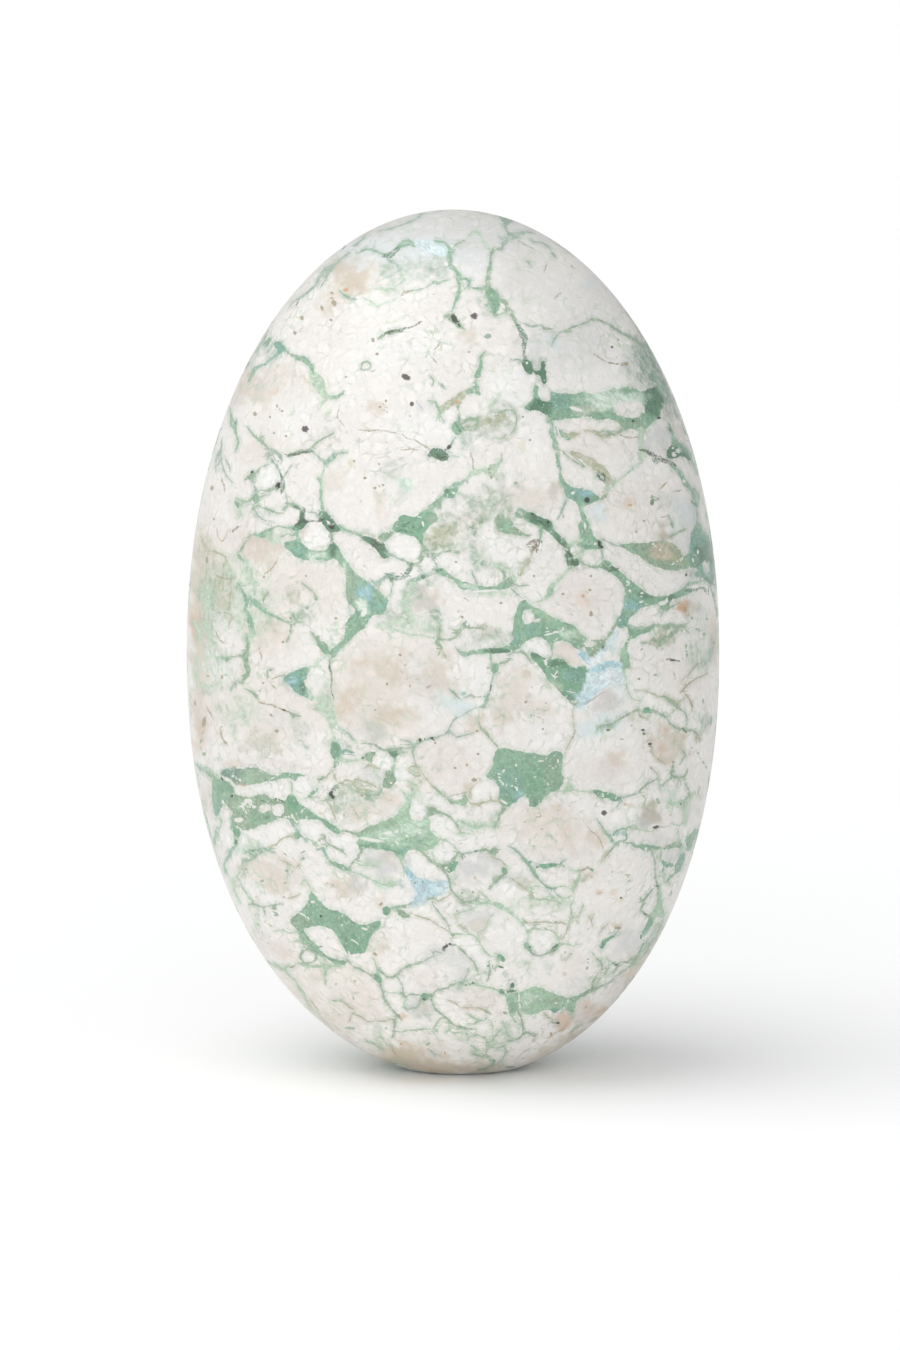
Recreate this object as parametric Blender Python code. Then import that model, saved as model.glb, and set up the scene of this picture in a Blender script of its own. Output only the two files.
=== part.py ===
"""A polished variscite, egg-shaped, that stands upright on a small flat ground across its lower end.

Nature and the polisher left one piece of stone, so this is one solid. Its front outline is two half
superellipses that meet at the widest level, and each level is an oval, a little deeper to the front
than to the back. Metres, +Z up, the front faces -Y. The origin is on the surface that the stone stands
on, under the middle of its bounding box.
"""

import math

import bmesh
import bpy

# Driving dimensions
HEIGHT = 0.1100  # from the ground flat to the crown
WIDTH = 0.0678  # across the widest level
FRONT_DEPTH = 0.0280  # from the plane of the outline to the front of the belly
BACK_DEPTH = 0.0260  # from the same plane to the flatter back
WAIST_LEVEL = 0.0530  # height of the widest level over the flat
FOOT_LENGTH = 0.0541  # from the widest level to where the lower end would close if nothing were ground away
CROWN_FULLNESS = 2.13  # exponent of the upper outline, where 2 is an ellipse and more is fuller
FOOT_FULLNESS = 2.20  # exponent of the lower outline
FOOT_LEAN = 0.0010  # how far the lower end drifts to the right
RIM_SOFTENING = 0.0004  # width of the polished edge round the flat

# How finely the solid is faceted
SIDES = 72
LEVELS_BELOW_WAIST = 20
LEVELS_ABOVE_WAIST = 22
RIM_STEPS = 2
WELD = 1e-7  # points closer than this are one

# The stone's average colour and polish
AVERAGE_COLOUR = (0.66, 0.68, 0.62, 1.0)
POLISH_ROUGHNESS = 0.28


def clear_scene():
    for thing in list(bpy.data.objects):
        bpy.data.objects.remove(thing)


def share_below_waist(level):
    """0 at the widest level, 1 where the lower end would close."""
    return max(0.0, WAIST_LEVEL - level) / FOOT_LENGTH


def half_width(level):
    """Half the stone's width at a height over the flat."""
    if level < WAIST_LEVEL:
        left = 1 - share_below_waist(level) ** FOOT_FULLNESS
    else:
        share = min(1.0, (level - WAIST_LEVEL) / (HEIGHT - WAIST_LEVEL))
        left = 1 - share**CROWN_FULLNESS
    return WIDTH / 2 * math.sqrt(max(0.0, left))


def side_levels():
    """Heights of the rings, closer together towards both ends, where the outline turns fastest."""
    lowest = math.asin((WAIST_LEVEL - RIM_SOFTENING) / FOOT_LENGTH)
    below = [
        WAIST_LEVEL - FOOT_LENGTH * math.sin(lowest * (1 - step / LEVELS_BELOW_WAIST))
        for step in range(LEVELS_BELOW_WAIST)
    ]
    above = [
        WAIST_LEVEL + (HEIGHT - WAIST_LEVEL) * math.sin(math.pi / 2 * step / LEVELS_ABOVE_WAIST)
        for step in range(LEVELS_ABOVE_WAIST)
    ]
    return below + above


def outline():
    """Half of the front outline as (half width, height), from the middle of the flat up to the crown."""
    rim_outer = half_width(RIM_SOFTENING)
    rim_inner = half_width(0.0) - RIM_SOFTENING
    points = [(0.0, 0.0), (rim_inner, 0.0)]
    for step in range(1, RIM_STEPS):
        turn = math.pi / 2 * step / RIM_STEPS
        across = rim_inner + (rim_outer - rim_inner) * math.sin(turn)
        points.append((across, RIM_SOFTENING * (1 - math.cos(turn))))
    points += [(half_width(level), level) for level in side_levels()]
    points.append((0.0, HEIGHT))
    return points


def turned_outline():
    """The outline spun once round, as a closed skin with a round section."""
    skin = bmesh.new()
    verts = [skin.verts.new((across, 0.0, level)) for across, level in outline()]
    edges = [skin.edges.new(pair) for pair in zip(verts, verts[1:])]
    bmesh.ops.spin(
        skin,
        geom=verts + edges,
        axis=(0, 0, 1),
        cent=(0, 0, 0),
        angle=2 * math.pi,
        steps=SIDES,
        use_merge=True,
    )
    bmesh.ops.remove_doubles(skin, verts=skin.verts, dist=WELD)
    return skin


def press_to_shape(skin):
    """Makes the round section oval, lets the foot drift to the right and centres the stone on its box."""
    for vert in skin.verts:
        depth = FRONT_DEPTH if vert.co.y < 0 else BACK_DEPTH
        vert.co.y *= depth / (WIDTH / 2)
        vert.co.y += (FRONT_DEPTH - BACK_DEPTH) / 2
        vert.co.x += FOOT_LEAN * share_below_waist(vert.co.z) ** 3


def polished_stone():
    material = bpy.data.materials.new("polished variscite")
    material.use_nodes = True
    shader = material.node_tree.nodes["Principled BSDF"]
    shader.inputs["Base Color"].default_value = AVERAGE_COLOUR
    shader.inputs["Roughness"].default_value = POLISH_ROUGHNESS
    shader.inputs["Metallic"].default_value = 0.0
    return material


def make_stone():
    skin = turned_outline()
    press_to_shape(skin)
    bmesh.ops.recalc_face_normals(skin, faces=skin.faces)
    mesh = bpy.data.meshes.new("variscite_stone")
    skin.to_mesh(mesh)
    skin.free()
    mesh.shade_smooth()
    mesh.materials.append(polished_stone())
    stone = bpy.data.objects.new("variscite_stone", mesh)
    bpy.context.scene.collection.objects.link(stone)
    return stone


clear_scene()
make_stone()
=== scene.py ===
# %% [markdown]
# # A polished variscite stone, 110 mm tall
#
# Variscite grows in cracked rock. Here the pale rock broke into lumps and crumbs, and green mineral
# cemented them together again. The cutter ground one piece of it to an egg shape and polished it.
# The shape is simple, so nearly all the work is in the pattern. The lumps are level with the green
# between them, so the pattern is colour alone on one smooth skin.

# %% The fixed frame
import math

import bmesh
import bpy
import numpy as np
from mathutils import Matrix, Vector


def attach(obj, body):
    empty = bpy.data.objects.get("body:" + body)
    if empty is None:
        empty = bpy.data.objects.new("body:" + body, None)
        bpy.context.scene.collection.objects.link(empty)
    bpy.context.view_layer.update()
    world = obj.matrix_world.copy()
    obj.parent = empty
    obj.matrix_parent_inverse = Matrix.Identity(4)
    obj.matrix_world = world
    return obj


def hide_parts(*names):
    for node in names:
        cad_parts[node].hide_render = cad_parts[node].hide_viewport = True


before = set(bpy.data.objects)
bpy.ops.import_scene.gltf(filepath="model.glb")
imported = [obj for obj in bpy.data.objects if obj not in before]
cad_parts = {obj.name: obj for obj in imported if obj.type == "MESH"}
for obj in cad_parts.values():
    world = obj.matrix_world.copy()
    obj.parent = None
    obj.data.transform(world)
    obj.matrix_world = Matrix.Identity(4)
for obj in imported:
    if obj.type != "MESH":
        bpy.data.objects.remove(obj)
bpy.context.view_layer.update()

# %% [markdown]
# ## Where the picture is taken from
#
# The photograph looks at the stone from in front and a little above. A long lens from nine tenths of a
# metre keeps the outline almost free of perspective. The same few numbers place the camera at the end
# and say, for any point of the stone, where it is seen in the picture. The pattern is laid out with
# them, so they come first.

# %% The picture's frame
PICTURE_WIDTH = 900
PICTURE_HEIGHT = 1350
VIEW_DISTANCE = 0.9
VIEW_ELEVATION = math.radians(8)
VIEW_TARGET = Vector((-0.00038, 0.0, 0.05085))
PIXELS_PER_METRE = 7860.0
FOCAL_PIXELS = PIXELS_PER_METRE * VIEW_DISTANCE

looking = Vector((0, math.cos(VIEW_ELEVATION), -math.sin(VIEW_ELEVATION)))
upwards = Vector((0, math.sin(VIEW_ELEVATION), math.cos(VIEW_ELEVATION)))
eye = VIEW_TARGET - looking * VIEW_DISTANCE


def seen_at(points):
    """Picture coordinates of points in space, an array of rows (x, y, z)."""
    rel = points - np.array(eye)
    depth = rel @ np.array(looking)
    across = PICTURE_WIDTH / 2 + FOCAL_PIXELS * rel[:, 0] / depth
    down = PICTURE_HEIGHT / 2 - FOCAL_PIXELS * (rel @ np.array(upwards)) / depth
    return across, down


print("the eye is at", tuple(round(v, 4) for v in eye))

# %% [markdown]
# ## The ground and polished skin
#
# The cutter's shape is an egg with its widest level just under the middle, a rounder front than back,
# and a small flat ground at the foot. A lathe profile and a spin would make it, but the rings would
# then be spread evenly round it. Here the front carries the fine pattern, so a sphere of rows and
# columns is pressed into the shape, with most of its columns on the front and its rows spaced evenly
# up the stone, but closer where the crown and foot turn over.

# %% The shape in numbers
HEIGHT = 0.1100
WIDTH = 0.0678
FRONT_DEPTH = 0.0280
BACK_DEPTH = 0.0260
WAIST_LEVEL = 0.0530
FOOT_LENGTH = 0.0541
CROWN_FULLNESS = 2.13
FOOT_FULLNESS = 2.20
FOOT_LEAN = 0.0010
RIM_SOFTENING = 0.0004


def share_below_waist(level):
    """0 at the widest level, 1 where the foot would close if nothing were ground away."""
    return np.maximum(0.0, WAIST_LEVEL - level) / FOOT_LENGTH


def half_width(level):
    share_above = np.clip((level - WAIST_LEVEL) / (HEIGHT - WAIST_LEVEL), 0, 1)
    below = 1 - share_below_waist(level) ** FOOT_FULLNESS
    above = 1 - share_above**CROWN_FULLNESS
    return WIDTH / 2 * np.sqrt(np.maximum(0.0, np.where(level < WAIST_LEVEL, below, above)))


print("the flat is", round(2000 * float(half_width(np.array(0.0))), 1), "mm across")

# %% Rows and columns
ROWS = 372
COLUMNS = 256
FRONT_COLUMNS = 196
EVEN_HEIGHT_SHARE = 0.65
EVEN_SPACING_SHARE = 0.9

fine_levels = RIM_SOFTENING + (HEIGHT - RIM_SOFTENING) * (1 - np.cos(np.linspace(0, math.pi, 4001))) / 2
fine_widths = half_width(fine_levels)
walked = np.concatenate([[0], np.cumsum(np.hypot(np.diff(fine_levels), np.diff(fine_widths)))])
height_share = (fine_levels - fine_levels[0]) / (fine_levels[-1] - fine_levels[0])
ruler = EVEN_HEIGHT_SHARE * height_share + (1 - EVEN_HEIGHT_SHARE) * walked / walked[-1]
row_levels = np.interp(np.linspace(0, 1, ROWS - 1), ruler, fine_levels)

print("rows are", round(1000 * float(np.median(np.diff(row_levels))), 2), "mm apart at the waist")


# %% Pressing a sphere into the stone
def turn_of_column(column):
    """The angle round the stone, 0 at its right edge, with the front columns spaced evenly as seen."""
    back_columns = COLUMNS - FRONT_COLUMNS
    if column <= back_columns:
        return math.pi * column / back_columns
    share = (column - back_columns) / FRONT_COLUMNS
    as_seen = math.acos(1 - 2 * share)
    return math.pi + EVEN_SPACING_SHARE * as_seen + (1 - EVEN_SPACING_SHARE) * math.pi * share


def stone_skin():
    skin = bmesh.new()
    bmesh.ops.create_uvsphere(skin, u_segments=COLUMNS, v_segments=ROWS, radius=1.0)
    flat_radius = float(half_width(np.array(0.0))) - RIM_SOFTENING
    for vert in skin.verts:
        row = round((1 - math.acos(max(-1.0, min(1.0, vert.co.z))) / math.pi) * ROWS)
        column = round(math.atan2(vert.co.y, vert.co.x) / (2 * math.pi) * COLUMNS) % COLUMNS
        turn = turn_of_column(column)
        if row == 0:
            level, across = 0.0, 0.0
        elif row == 1:
            level, across = 0.0, flat_radius
        else:
            level = float(row_levels[row - 2])
            across = float(half_width(np.array(level)))
        if row == ROWS:
            across = 0.0
        depth = FRONT_DEPTH if math.sin(turn) < 0 else BACK_DEPTH
        x = across * math.cos(turn) + FOOT_LEAN * float(share_below_waist(level)) ** 3
        y = across * math.sin(turn) * depth / (WIDTH / 2) + (FRONT_DEPTH - BACK_DEPTH) / 2
        vert.co = (x, y, level)
    bmesh.ops.recalc_face_normals(skin, faces=skin.faces)
    return skin


skin = stone_skin()
stone_mesh = bpy.data.meshes.new("polished_stone")
skin.to_mesh(stone_mesh)
skin.free()
stone_mesh.shade_smooth()
stone = bpy.data.objects.new("polished_stone", stone_mesh)
bpy.context.scene.collection.objects.link(stone)
print("the skin has", len(stone_mesh.polygons), "faces")

# %% [markdown]
# ## Words for the pattern
#
# A painter who copies such a stone would name what lies on it, one thing after another. The same is
# done here. A seam is a thin line of mineral, given by its places in the picture with the half width
# at each. A pool is a closed patch of green. A lump is a pale island in a pool. A tint shifts the
# green, a haze is thin green seen over pale stone, a stain shifts the pale stone, and a speck is a
# pinhole or grain. An oval is given by its middle, its two half lengths and its turn in degrees, and
# a tint, haze or stain also by its strength. They were read off the photograph, and a few wide ovals
# at the crown and foot were set while comparing the finished stone with it. Of these, a wide grey oval
# is painted shade over the crown and a frost oval is a painted cool reflection on it, while tan and
# cream ovals make the foot warmer.

# %% Tones
TONES = {
    "chalk": (236, 232, 228), "snow": (240, 239, 238), "cream": (222, 213, 203),
    "tan": (205, 190, 170), "tanline": (185, 168, 145), "umber": (164, 153, 130),
    "umberhaze": (176, 180, 154), "umberdark": (120, 108, 85), "olive": (170, 176, 146),
    "rust": (205, 165, 130), "rose": (214, 200, 193), "yellow": (215, 208, 175),
    "yellowline": (196, 182, 130), "grey": (200, 202, 203), "frost": (222, 228, 232),
    "ice": (212, 227, 229), "sky": (188, 211, 217), "lake": (172, 206, 211),
    "blue": (152, 188, 190), "bluedeep": (140, 172, 174), "aqua": (170, 198, 192),
    "mint": (205, 221, 205), "pale": (186, 205, 184), "sage": (172, 195, 168),
    "palejade": (170, 198, 172), "jade": (142, 175, 150), "deepjade": (126, 166, 138),
    "teal": (130, 168, 152), "moss": (150, 172, 148), "slate": (156, 177, 161),
    "slategreen": (136, 160, 144), "deep": (98, 132, 108), "coal": (62, 62, 56),
    "coalseam": (84, 92, 76), "plum": (78, 64, 70), "veil": (188, 192, 176),
    "islet": (232, 232, 226),
}
STUDIO_LIGHT = 1.10


def linear(tone):
    """A tone as it is seen in the bright studio, turned into what the stone itself reflects."""
    share = np.array(tone, float) / 255
    seen = np.where(share <= 0.04045, share / 12.92, ((share + 0.055) / 1.055) ** 2.4)
    return seen / STUDIO_LIGHT


print(len(TONES), "tones, and chalk reflects", linear(TONES["chalk"]).round(2))

# %% [markdown]
# ## The notes
#
# Each cell below is one part of the front. A line holds what lies there, its tone and its places. A
# bar starts the next seam or pool, a half width holds until the next one is given, and a turn that is
# left out is none.

# %% Reading the notes
seams, pools, lumps, tints, hazes, stains_and_painted_light, specks = [], [], [], [], [], [], []
OVALS = {"tint": tints, "haze": hazes, "stain": stains_and_painted_light}


def path_from(words):
    """The places along a seam or round a pool."""
    path = []
    for word in words:
        place = tuple(float(number) for number in word.split(","))
        if path and len(place) < len(path[-1]):
            place += path[-1][2:]
        path.append(place)
    return path


def ovals_from(words):
    return [tuple(float(number) for number in word.split(",")) for word in words]


def draw(notes):
    """Adds each line of the notes to the list of its kind."""
    for note in notes.strip().splitlines():
        kind, *rest = note.split()
        tone = "" if kind == "lump" else rest.pop(0)
        if kind in ("seam", "pool"):
            paths = [path_from(part.split()) for part in " ".join(rest).split("|")]
            (seams if kind == "seam" else pools).extend((tone, path) for path in paths)
        elif kind == "lump":
            lumps.extend((*oval, 0)[:5] for oval in ovals_from(rest))
        elif kind == "speck":
            specks.extend((tone, *oval, 0)[:6] for oval in ovals_from(rest))
        else:
            OVALS[kind].extend((tone, *oval) for oval in ovals_from(rest))
    print("seams", len(seams), "pools", len(pools), "specks", len(specks))

# %% Crown
draw("""
seam slate 349,253,1 341,259 333,266,1.4 325,268,1.6 320,276,1.3 316,285,1.1 309,291 302,297,1 296,300,.8 \
291,305,.7 | 333,267,.8 328,273,1.3 325,280,1 321,287,.8 | 267,331,1 264,338,1.3 261,344,1.4 256,351,1.2 | \
420,217,.6 405,224,.7 390,229 378,231,.4 | 367,233,.8 361,240,1 355,246,1.2 | 390,261,1.6 396,264,1.5 \
399,269,.8 | 410,291,.7 417,290,.6 425,288,.7 431,284,.6 | 506,223,2 505,228,1.4 508,232,1.6 511,235,3.4 \
515,234,2 521,233,1.5 527,232,1 533,233,.6 | 511,236,2.6 506,241,2 503,245,1.6 502,249,1 | 512,238,1.2 \
517,239,1 | 500,237,.7 504,240,1 | 532,241,.5 544,243,.7 551,249,.6 | 526,324,.8 531,327,1.1 537,326,.8
seam coal 345,246,.9 343,249,1 | 298,302,.7 296,305 | 388,333,1.5 392,331,1.2 397,330 401,331,1.5 \
404,328,.9 409,328,.7 414,326,.6 419,323,1.3
seam moss 305,294,1.1 302,296,.7 | 453,246,1.1 458,244,.9 463,241,.6 | 491,250,1.3 491,258,1 490,266,1.4 \
489,272,2 488,278,2.5 488,285,2 489,290,2.4 | 388,333,2.2 393,332 399,330,1.8 | 379,338,.8 382,336,1.6 | \
447,316,1.4 452,317,3.6 456,322,3.4 460,326,2.2 463,328,1.2 | 502,247,.8 496,250,.9 492,252,1.8 \
491,256,1.2 | 552,253,.9 555,257,.8 | 526,260,.5 530,264,1.3 | 501,300,1.6 505,303,2.2 508,309,2 512,314 \
514,319,1.5 517,325 | 542,326,.8 545,329,1.2 550,329,.9 | 552,345,.4 555,338,.6 559,333,1.1 564,331,1 \
569,332,.7 | 571,328,1.3 576,326,1 582,324,.9 587,322,1.4 592,319,1.1 598,320,1 604,322 610,325 \
617,330,1.5 624,334,1.3 631,338,1.4 638,342,1.2 644,346,1.8
seam jade 341,292,.8 345,296,1.4 350,299,1.7 354,299,1.1 | 426,211,1.8 421,214,1.6 | 358,253,.7 \
366,249,1.2 373,250,1.1 380,253,1 386,255,1.6 | 398,248,1.6 403,244,3 408,242,3.2 413,245,1.8 | 436,241,.8 \
444,242,1 449,247,1.6 451,252,3.2 449,258,2.6 450,266,2 455,270,1.6 460,275,1.5 | 457,278,.9 459,284,1.4 \
460,289 458,296,1.6 455,302,1.1 453,308,.6 | 470,281,1.2 468,286 465,288,.8 | 472,288,.7 480,289,1.1 \
486,289,1.6 | 433,282,1.3 438,283,1.8 443,281,1 447,280,.4
seam deep 385,256,1.6 390,255,3 395,252,2.4 399,248,1.6 | 517,325,1.4 520,330,2.2 523,334,3 525,339 \
524,345,2.4 524,350,1.8 524,355,1.5 525,360,2
seam pale 470,235,1.2 473,231,1.1 478,232 481,237,1 482,241,.8 487,246 491,251,1.6 | 404,280,.7 396,287,1 \
388,290,1.2 382,289,2.4 376,289,1 | 365,299,.8 372,302,1 378,307,.8 385,303,.6 394,300,.4 | 498,314,1.1 \
505,313,1.3 511,312,1.4
seam umber 402,295,.9 405,292,1.6 409,291,.9 | 439,344,.9 436,348,.7 | 518,241,.5 524,244,.6 530,247,.5 \
537,251,.4 | 546,266,.7 545,270 | 571,265,.9 574,268 | 559,294,.9 556,297,1
pool jade 262,345 266,340 271,337 271,342 266,347
pool teal 274,342 281,341 284,346 287,349 281,352 279,356 276,350 273,346
pool ice 411,243 420,240 432,241 444,243 451,250 446,257 436,255 428,250 418,247
pool jade 458,276 464,277 470,278 471,281 466,284 461,282 | 484,290 490,287 495,291 499,297 500,305 \
500,311 498,316 495,317 491,311 489,304 487,297
pool slate 494,213 505,217 516,221 510,222 507,226 504,224 501,219
lump 464,283,3.2,3.6,10 503,306,1.8,2.6,20 499,312,2.6,1.6,20 452,246,1.6,1.2 446,264,2.2,2
haze slate 412,268,30,12,5,.34 440,268,12,13,0,.45
haze jade 392,278,12,13,30,.42
haze ice 432,248,16,6,10,.5
haze jade 487,302,7,12,0,.45
haze deep 495,300,4,11,-15,.5
stain tan 350,273,22,17,-25,.6 388,264,8,6,30,.45 330,303,10,14,-30,.35 355,287,18,9,0,.3 468,335,9,7,0,.4 \
337,257,10,5,-35,.35
stain snow 471,258,16,22,0,.75 400,348,46,20,0,.4 566,305,8,7,0,.35
stain grey 530,285,34,26,0,.25 584,345,30,22,0,.2
stain ice 590,282,10,7,30,.4 555,342,6,9,10,.6
speck coal 454,318,2.8,4.4,20 459,325,1,2.2,30 612,347,1.3,1.2
speck plum 474,316,3.4,3.2
speck moss 618,340,1.3,1.2 488,336,3.6,2.6,10
speck rust 346,290,2.8,2,20
speck umber 332,293,1.7,1.2,-20 331,320,1.6,1.4 373,340,1.8,2.2 302,318,1.6,2.4 295,333,1.6,2 \
334,303,2.4,3.4,20 322,308,1.4,2.6,20
""")

# %% Left shoulder
draw("""
seam jade 284,349,1.2 290,354,1.1 294,356,1.6 298,358,2.6 303,359,3 307,361,2.6 311,366,1.9 313,372,1.3 | \
331,397,1.2 337,397,1.7 341,395,1.2 343,393,.9 | 258,367,1.3 255,369,2.2 253,373,1.6 251,377,1 249,381,.6 \
| 230,410,.8 231,416,1 232,420,1.6 233,424,3 234,428,1.9 236,434,1 238,440 238,445,1.4 236,450,1 | \
312,451,1.1 316,455 320,458,1.2 324,461,2 326,463 329,460,3 333,457 336,454,1.6 340,453,1 345,453,.6
seam pale 328,399,1.2 322,403,.9 320,408,.6 | 325,464,1.4 324,470,1 322,475,1.1 321,480 322,485,1.4 322,489
seam teal 282,350,2 276,355,1.2 271,359,1.1 264,365,.9 258,367,1.3
seam coal 248,364,.8 243,373,.9 | 220,429,.7 216,441,.9 213,452,.7 | 287,455,.7 292,455,1 297,454,1.2 \
302,452,1.6 306,452,1.3 310,452,1.1
seam deep 236,421,1.6 236,425,1.4 | 281,475,1.6 283,480,2.2 283,486,2 282,491,1.4
seam slate 222,440,.7 221,450,1 221,458 222,466,1.1 225,473,.9 228,478,.8 233,483,.4 | 218,454,1.4 \
216,462,1.2 216,470,.7 | 265,455,1.2 270,453,2 275,452,1.6 279,455 281,459,1.2 | 269,457,1.4 272,461,1 \
276,465,1.2 279,469 281,475 | 252,480,1.2 254,486 256,491,1.5
seam umber 222,480,.8 224,486,.9 225,491,.5 | 338,411,.5 337,417,.7 340,421,.6 343,425 | 433,359,.7 \
436,362,1.2 | 360,430,.4 369,431,.6 378,430,.5 386,431,.7 391,432,.8 396,433 | 403,435,.6 408,439,.7 \
415,440,.6 421,444,.7 428,448 | 403,450,.5 410,449,.7 417,450,.5
seam moss 230,469,.8 228,464 226,460,.6 | 247,427,.6 250,431,.8 255,437,1 260,441 265,445,1.1 269,449 \
274,450,1 | 259,440,1.2 262,437,1.4 | 255,474,1 259,469,.7 264,466 271,463,.5 | 285,475,.6 288,470,.7 \
291,466,.5 | 290,455,1.4 303,451,2.2 311,450,1.6 | 311,450,1.1 313,446 316,443,1.3 320,440,.8 324,438,.7 \
328,436,1.1 333,433,.5 | 361,369,.7 362,363,.9 367,361,.6 371,364 370,369,1.2 364,370,.5 | 431,377,.6 \
434,381,.9 433,384,.7 | 441,384,.8 444,388
seam grey 307,432,1 311,437,.6 | 418,403,1 421,408,1.8
pool pale 311,370 316,372 321,376 325,383 325,390 328,395 328,401 323,399 318,392 313,386 310,378
pool coal 273,489 276,486 278,482 281,483 280,489
pool moss 244,481 246,477 250,475 252,470 255,473 254,479 249,480
haze slate 270,352,9,10,40,.5 252,360,5,14,-30,.4
stain yellow 352,463,5,4,0,.5
stain tan 375,408,9,6,0,.4 300,425,42,30,0,.14 254,388,16,18,20,.45 282,375,22,12,0,.25 255,452,20,12,0,.2
stain rust 249,375,3,3,0,.4 273,392,7,4,0,.25
stain rose 238,395,6,12,-20,.4
stain yellow 307,380,5,4,0,.4
stain grey 262,385,9,12,-20,.3
stain snow 300,420,30,22,0,.45 270,478,11,12,0,.6 430,428,42,18,0,.5
speck coal 252,472,1.3,1.2 406,377,4.6,2.7,-24
speck plum 305,429,3.3,3.1 412,404,2.3,2.2
speck grey 410,416,1.6,1.6 387,412,1.2,1.2
speck moss 346,377,1.3,1.1 354,461,1.5,1.3 274,433,1.2,1.2
speck umber 277,406,.8,2,10 282,411,1.3,1.1 270,417,1.1,1.1 286,436,1.3,1.3 255,414,1.8,2.2 377,354,2,1.4 \
469,352,1.4,1 380,407,1.4,1.1 386,401,1.2,1.6
""")

# %% Middle of the upper face
draw("""
seam coal 446,450,.9 451,445,1 | 437,454,1 441,458,1.2 446,457,.9
seam slate 449,447,1 452,443,.9 455,438,.8
seam pale 451,456,.9 457,457,.8 | 438,412,2 437,418,1.6 | 473,470,1 469,476,1.6 467,480,1.3 | 484,470,1.5 \
478,472,2 472,474 | 498,398,2 494,403,1.8 491,406,1.6
seam umberhaze 439,411,1.5 446,406,3 453,402,4 460,396,3.6 466,392,2.6 | 480,424,3 488,421 494,424,3.5 \
501,418
seam jade 465,393,2.4 470,391,3 475,388,2.8 477,391,3 | 480,358,1.1 484,353,.7 | 476,382,.9 478,387,1.6 | \
431,401,1.7 436,403,1.2 438,408,1 441,412,1.1
seam moss 441,416,.9 443,420,1.2 | 458,405,.9 459,413,1 459,421,1.2 | 462,422,1.6 470,419,1.8 477,419,2.2 \
479,425,1.8 472,430 463,428 | 501,455,.8 502,460,.7 499,464 | 515,413,.5 517,420,.7 515,428 511,434,.4 | \
497,412,1 506,410,1.2 514,410,.8
seam deep 456,424,1.2 460,431,1.4
seam umber 465,425,.8 470,427 476,425 | 471,455,.7 473,461,.9 473,467,.6
pool deep 427,455 431,449 437,448 444,450 450,456 447,460 440,461 434,457 429,458
pool jade 473,379 475,372 480,365 480,358 483,363 481,371 479,379 | 452,424 458,420 462,425 462,430 \
458,436 455,434 452,430
pool pale 482,470 488,466 494,464 500,461 500,466 497,472 495,477 490,477 486,474
pool mint 396,480 402,478 411,482 412,488 409,493 402,491
haze moss 482,428,22,12,0,.45 506,416,14,16,0,.45
haze slate 465,442,7,12,0,.4 430,405,8,8,0,.2
haze jade 406,485,5,6,0,.6
haze moss 392,470,14,10,30,.3 404,496,8,6,0,.25
stain rust 457,402,5,4,0,.5
stain yellow 521,447,5,6,0,.35
stain tan 381,505,7,18,0,.3 330,480,14,14,0,.25
speck coal 449,447,2.4,2,40
speck rust 457,402,1.8,1.9
speck umber 489,469,1.6,1.2 491,477,1.2,1.8 530,440,1.3,1.2 523,417,1.3,1.1 365,478,2.2,1.2 \
379,464,.9,1.6,30 375,488,1.7,1.5 383,485,1.3,1.2
speck moss 516,483,1.9,1.4
""")
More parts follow.
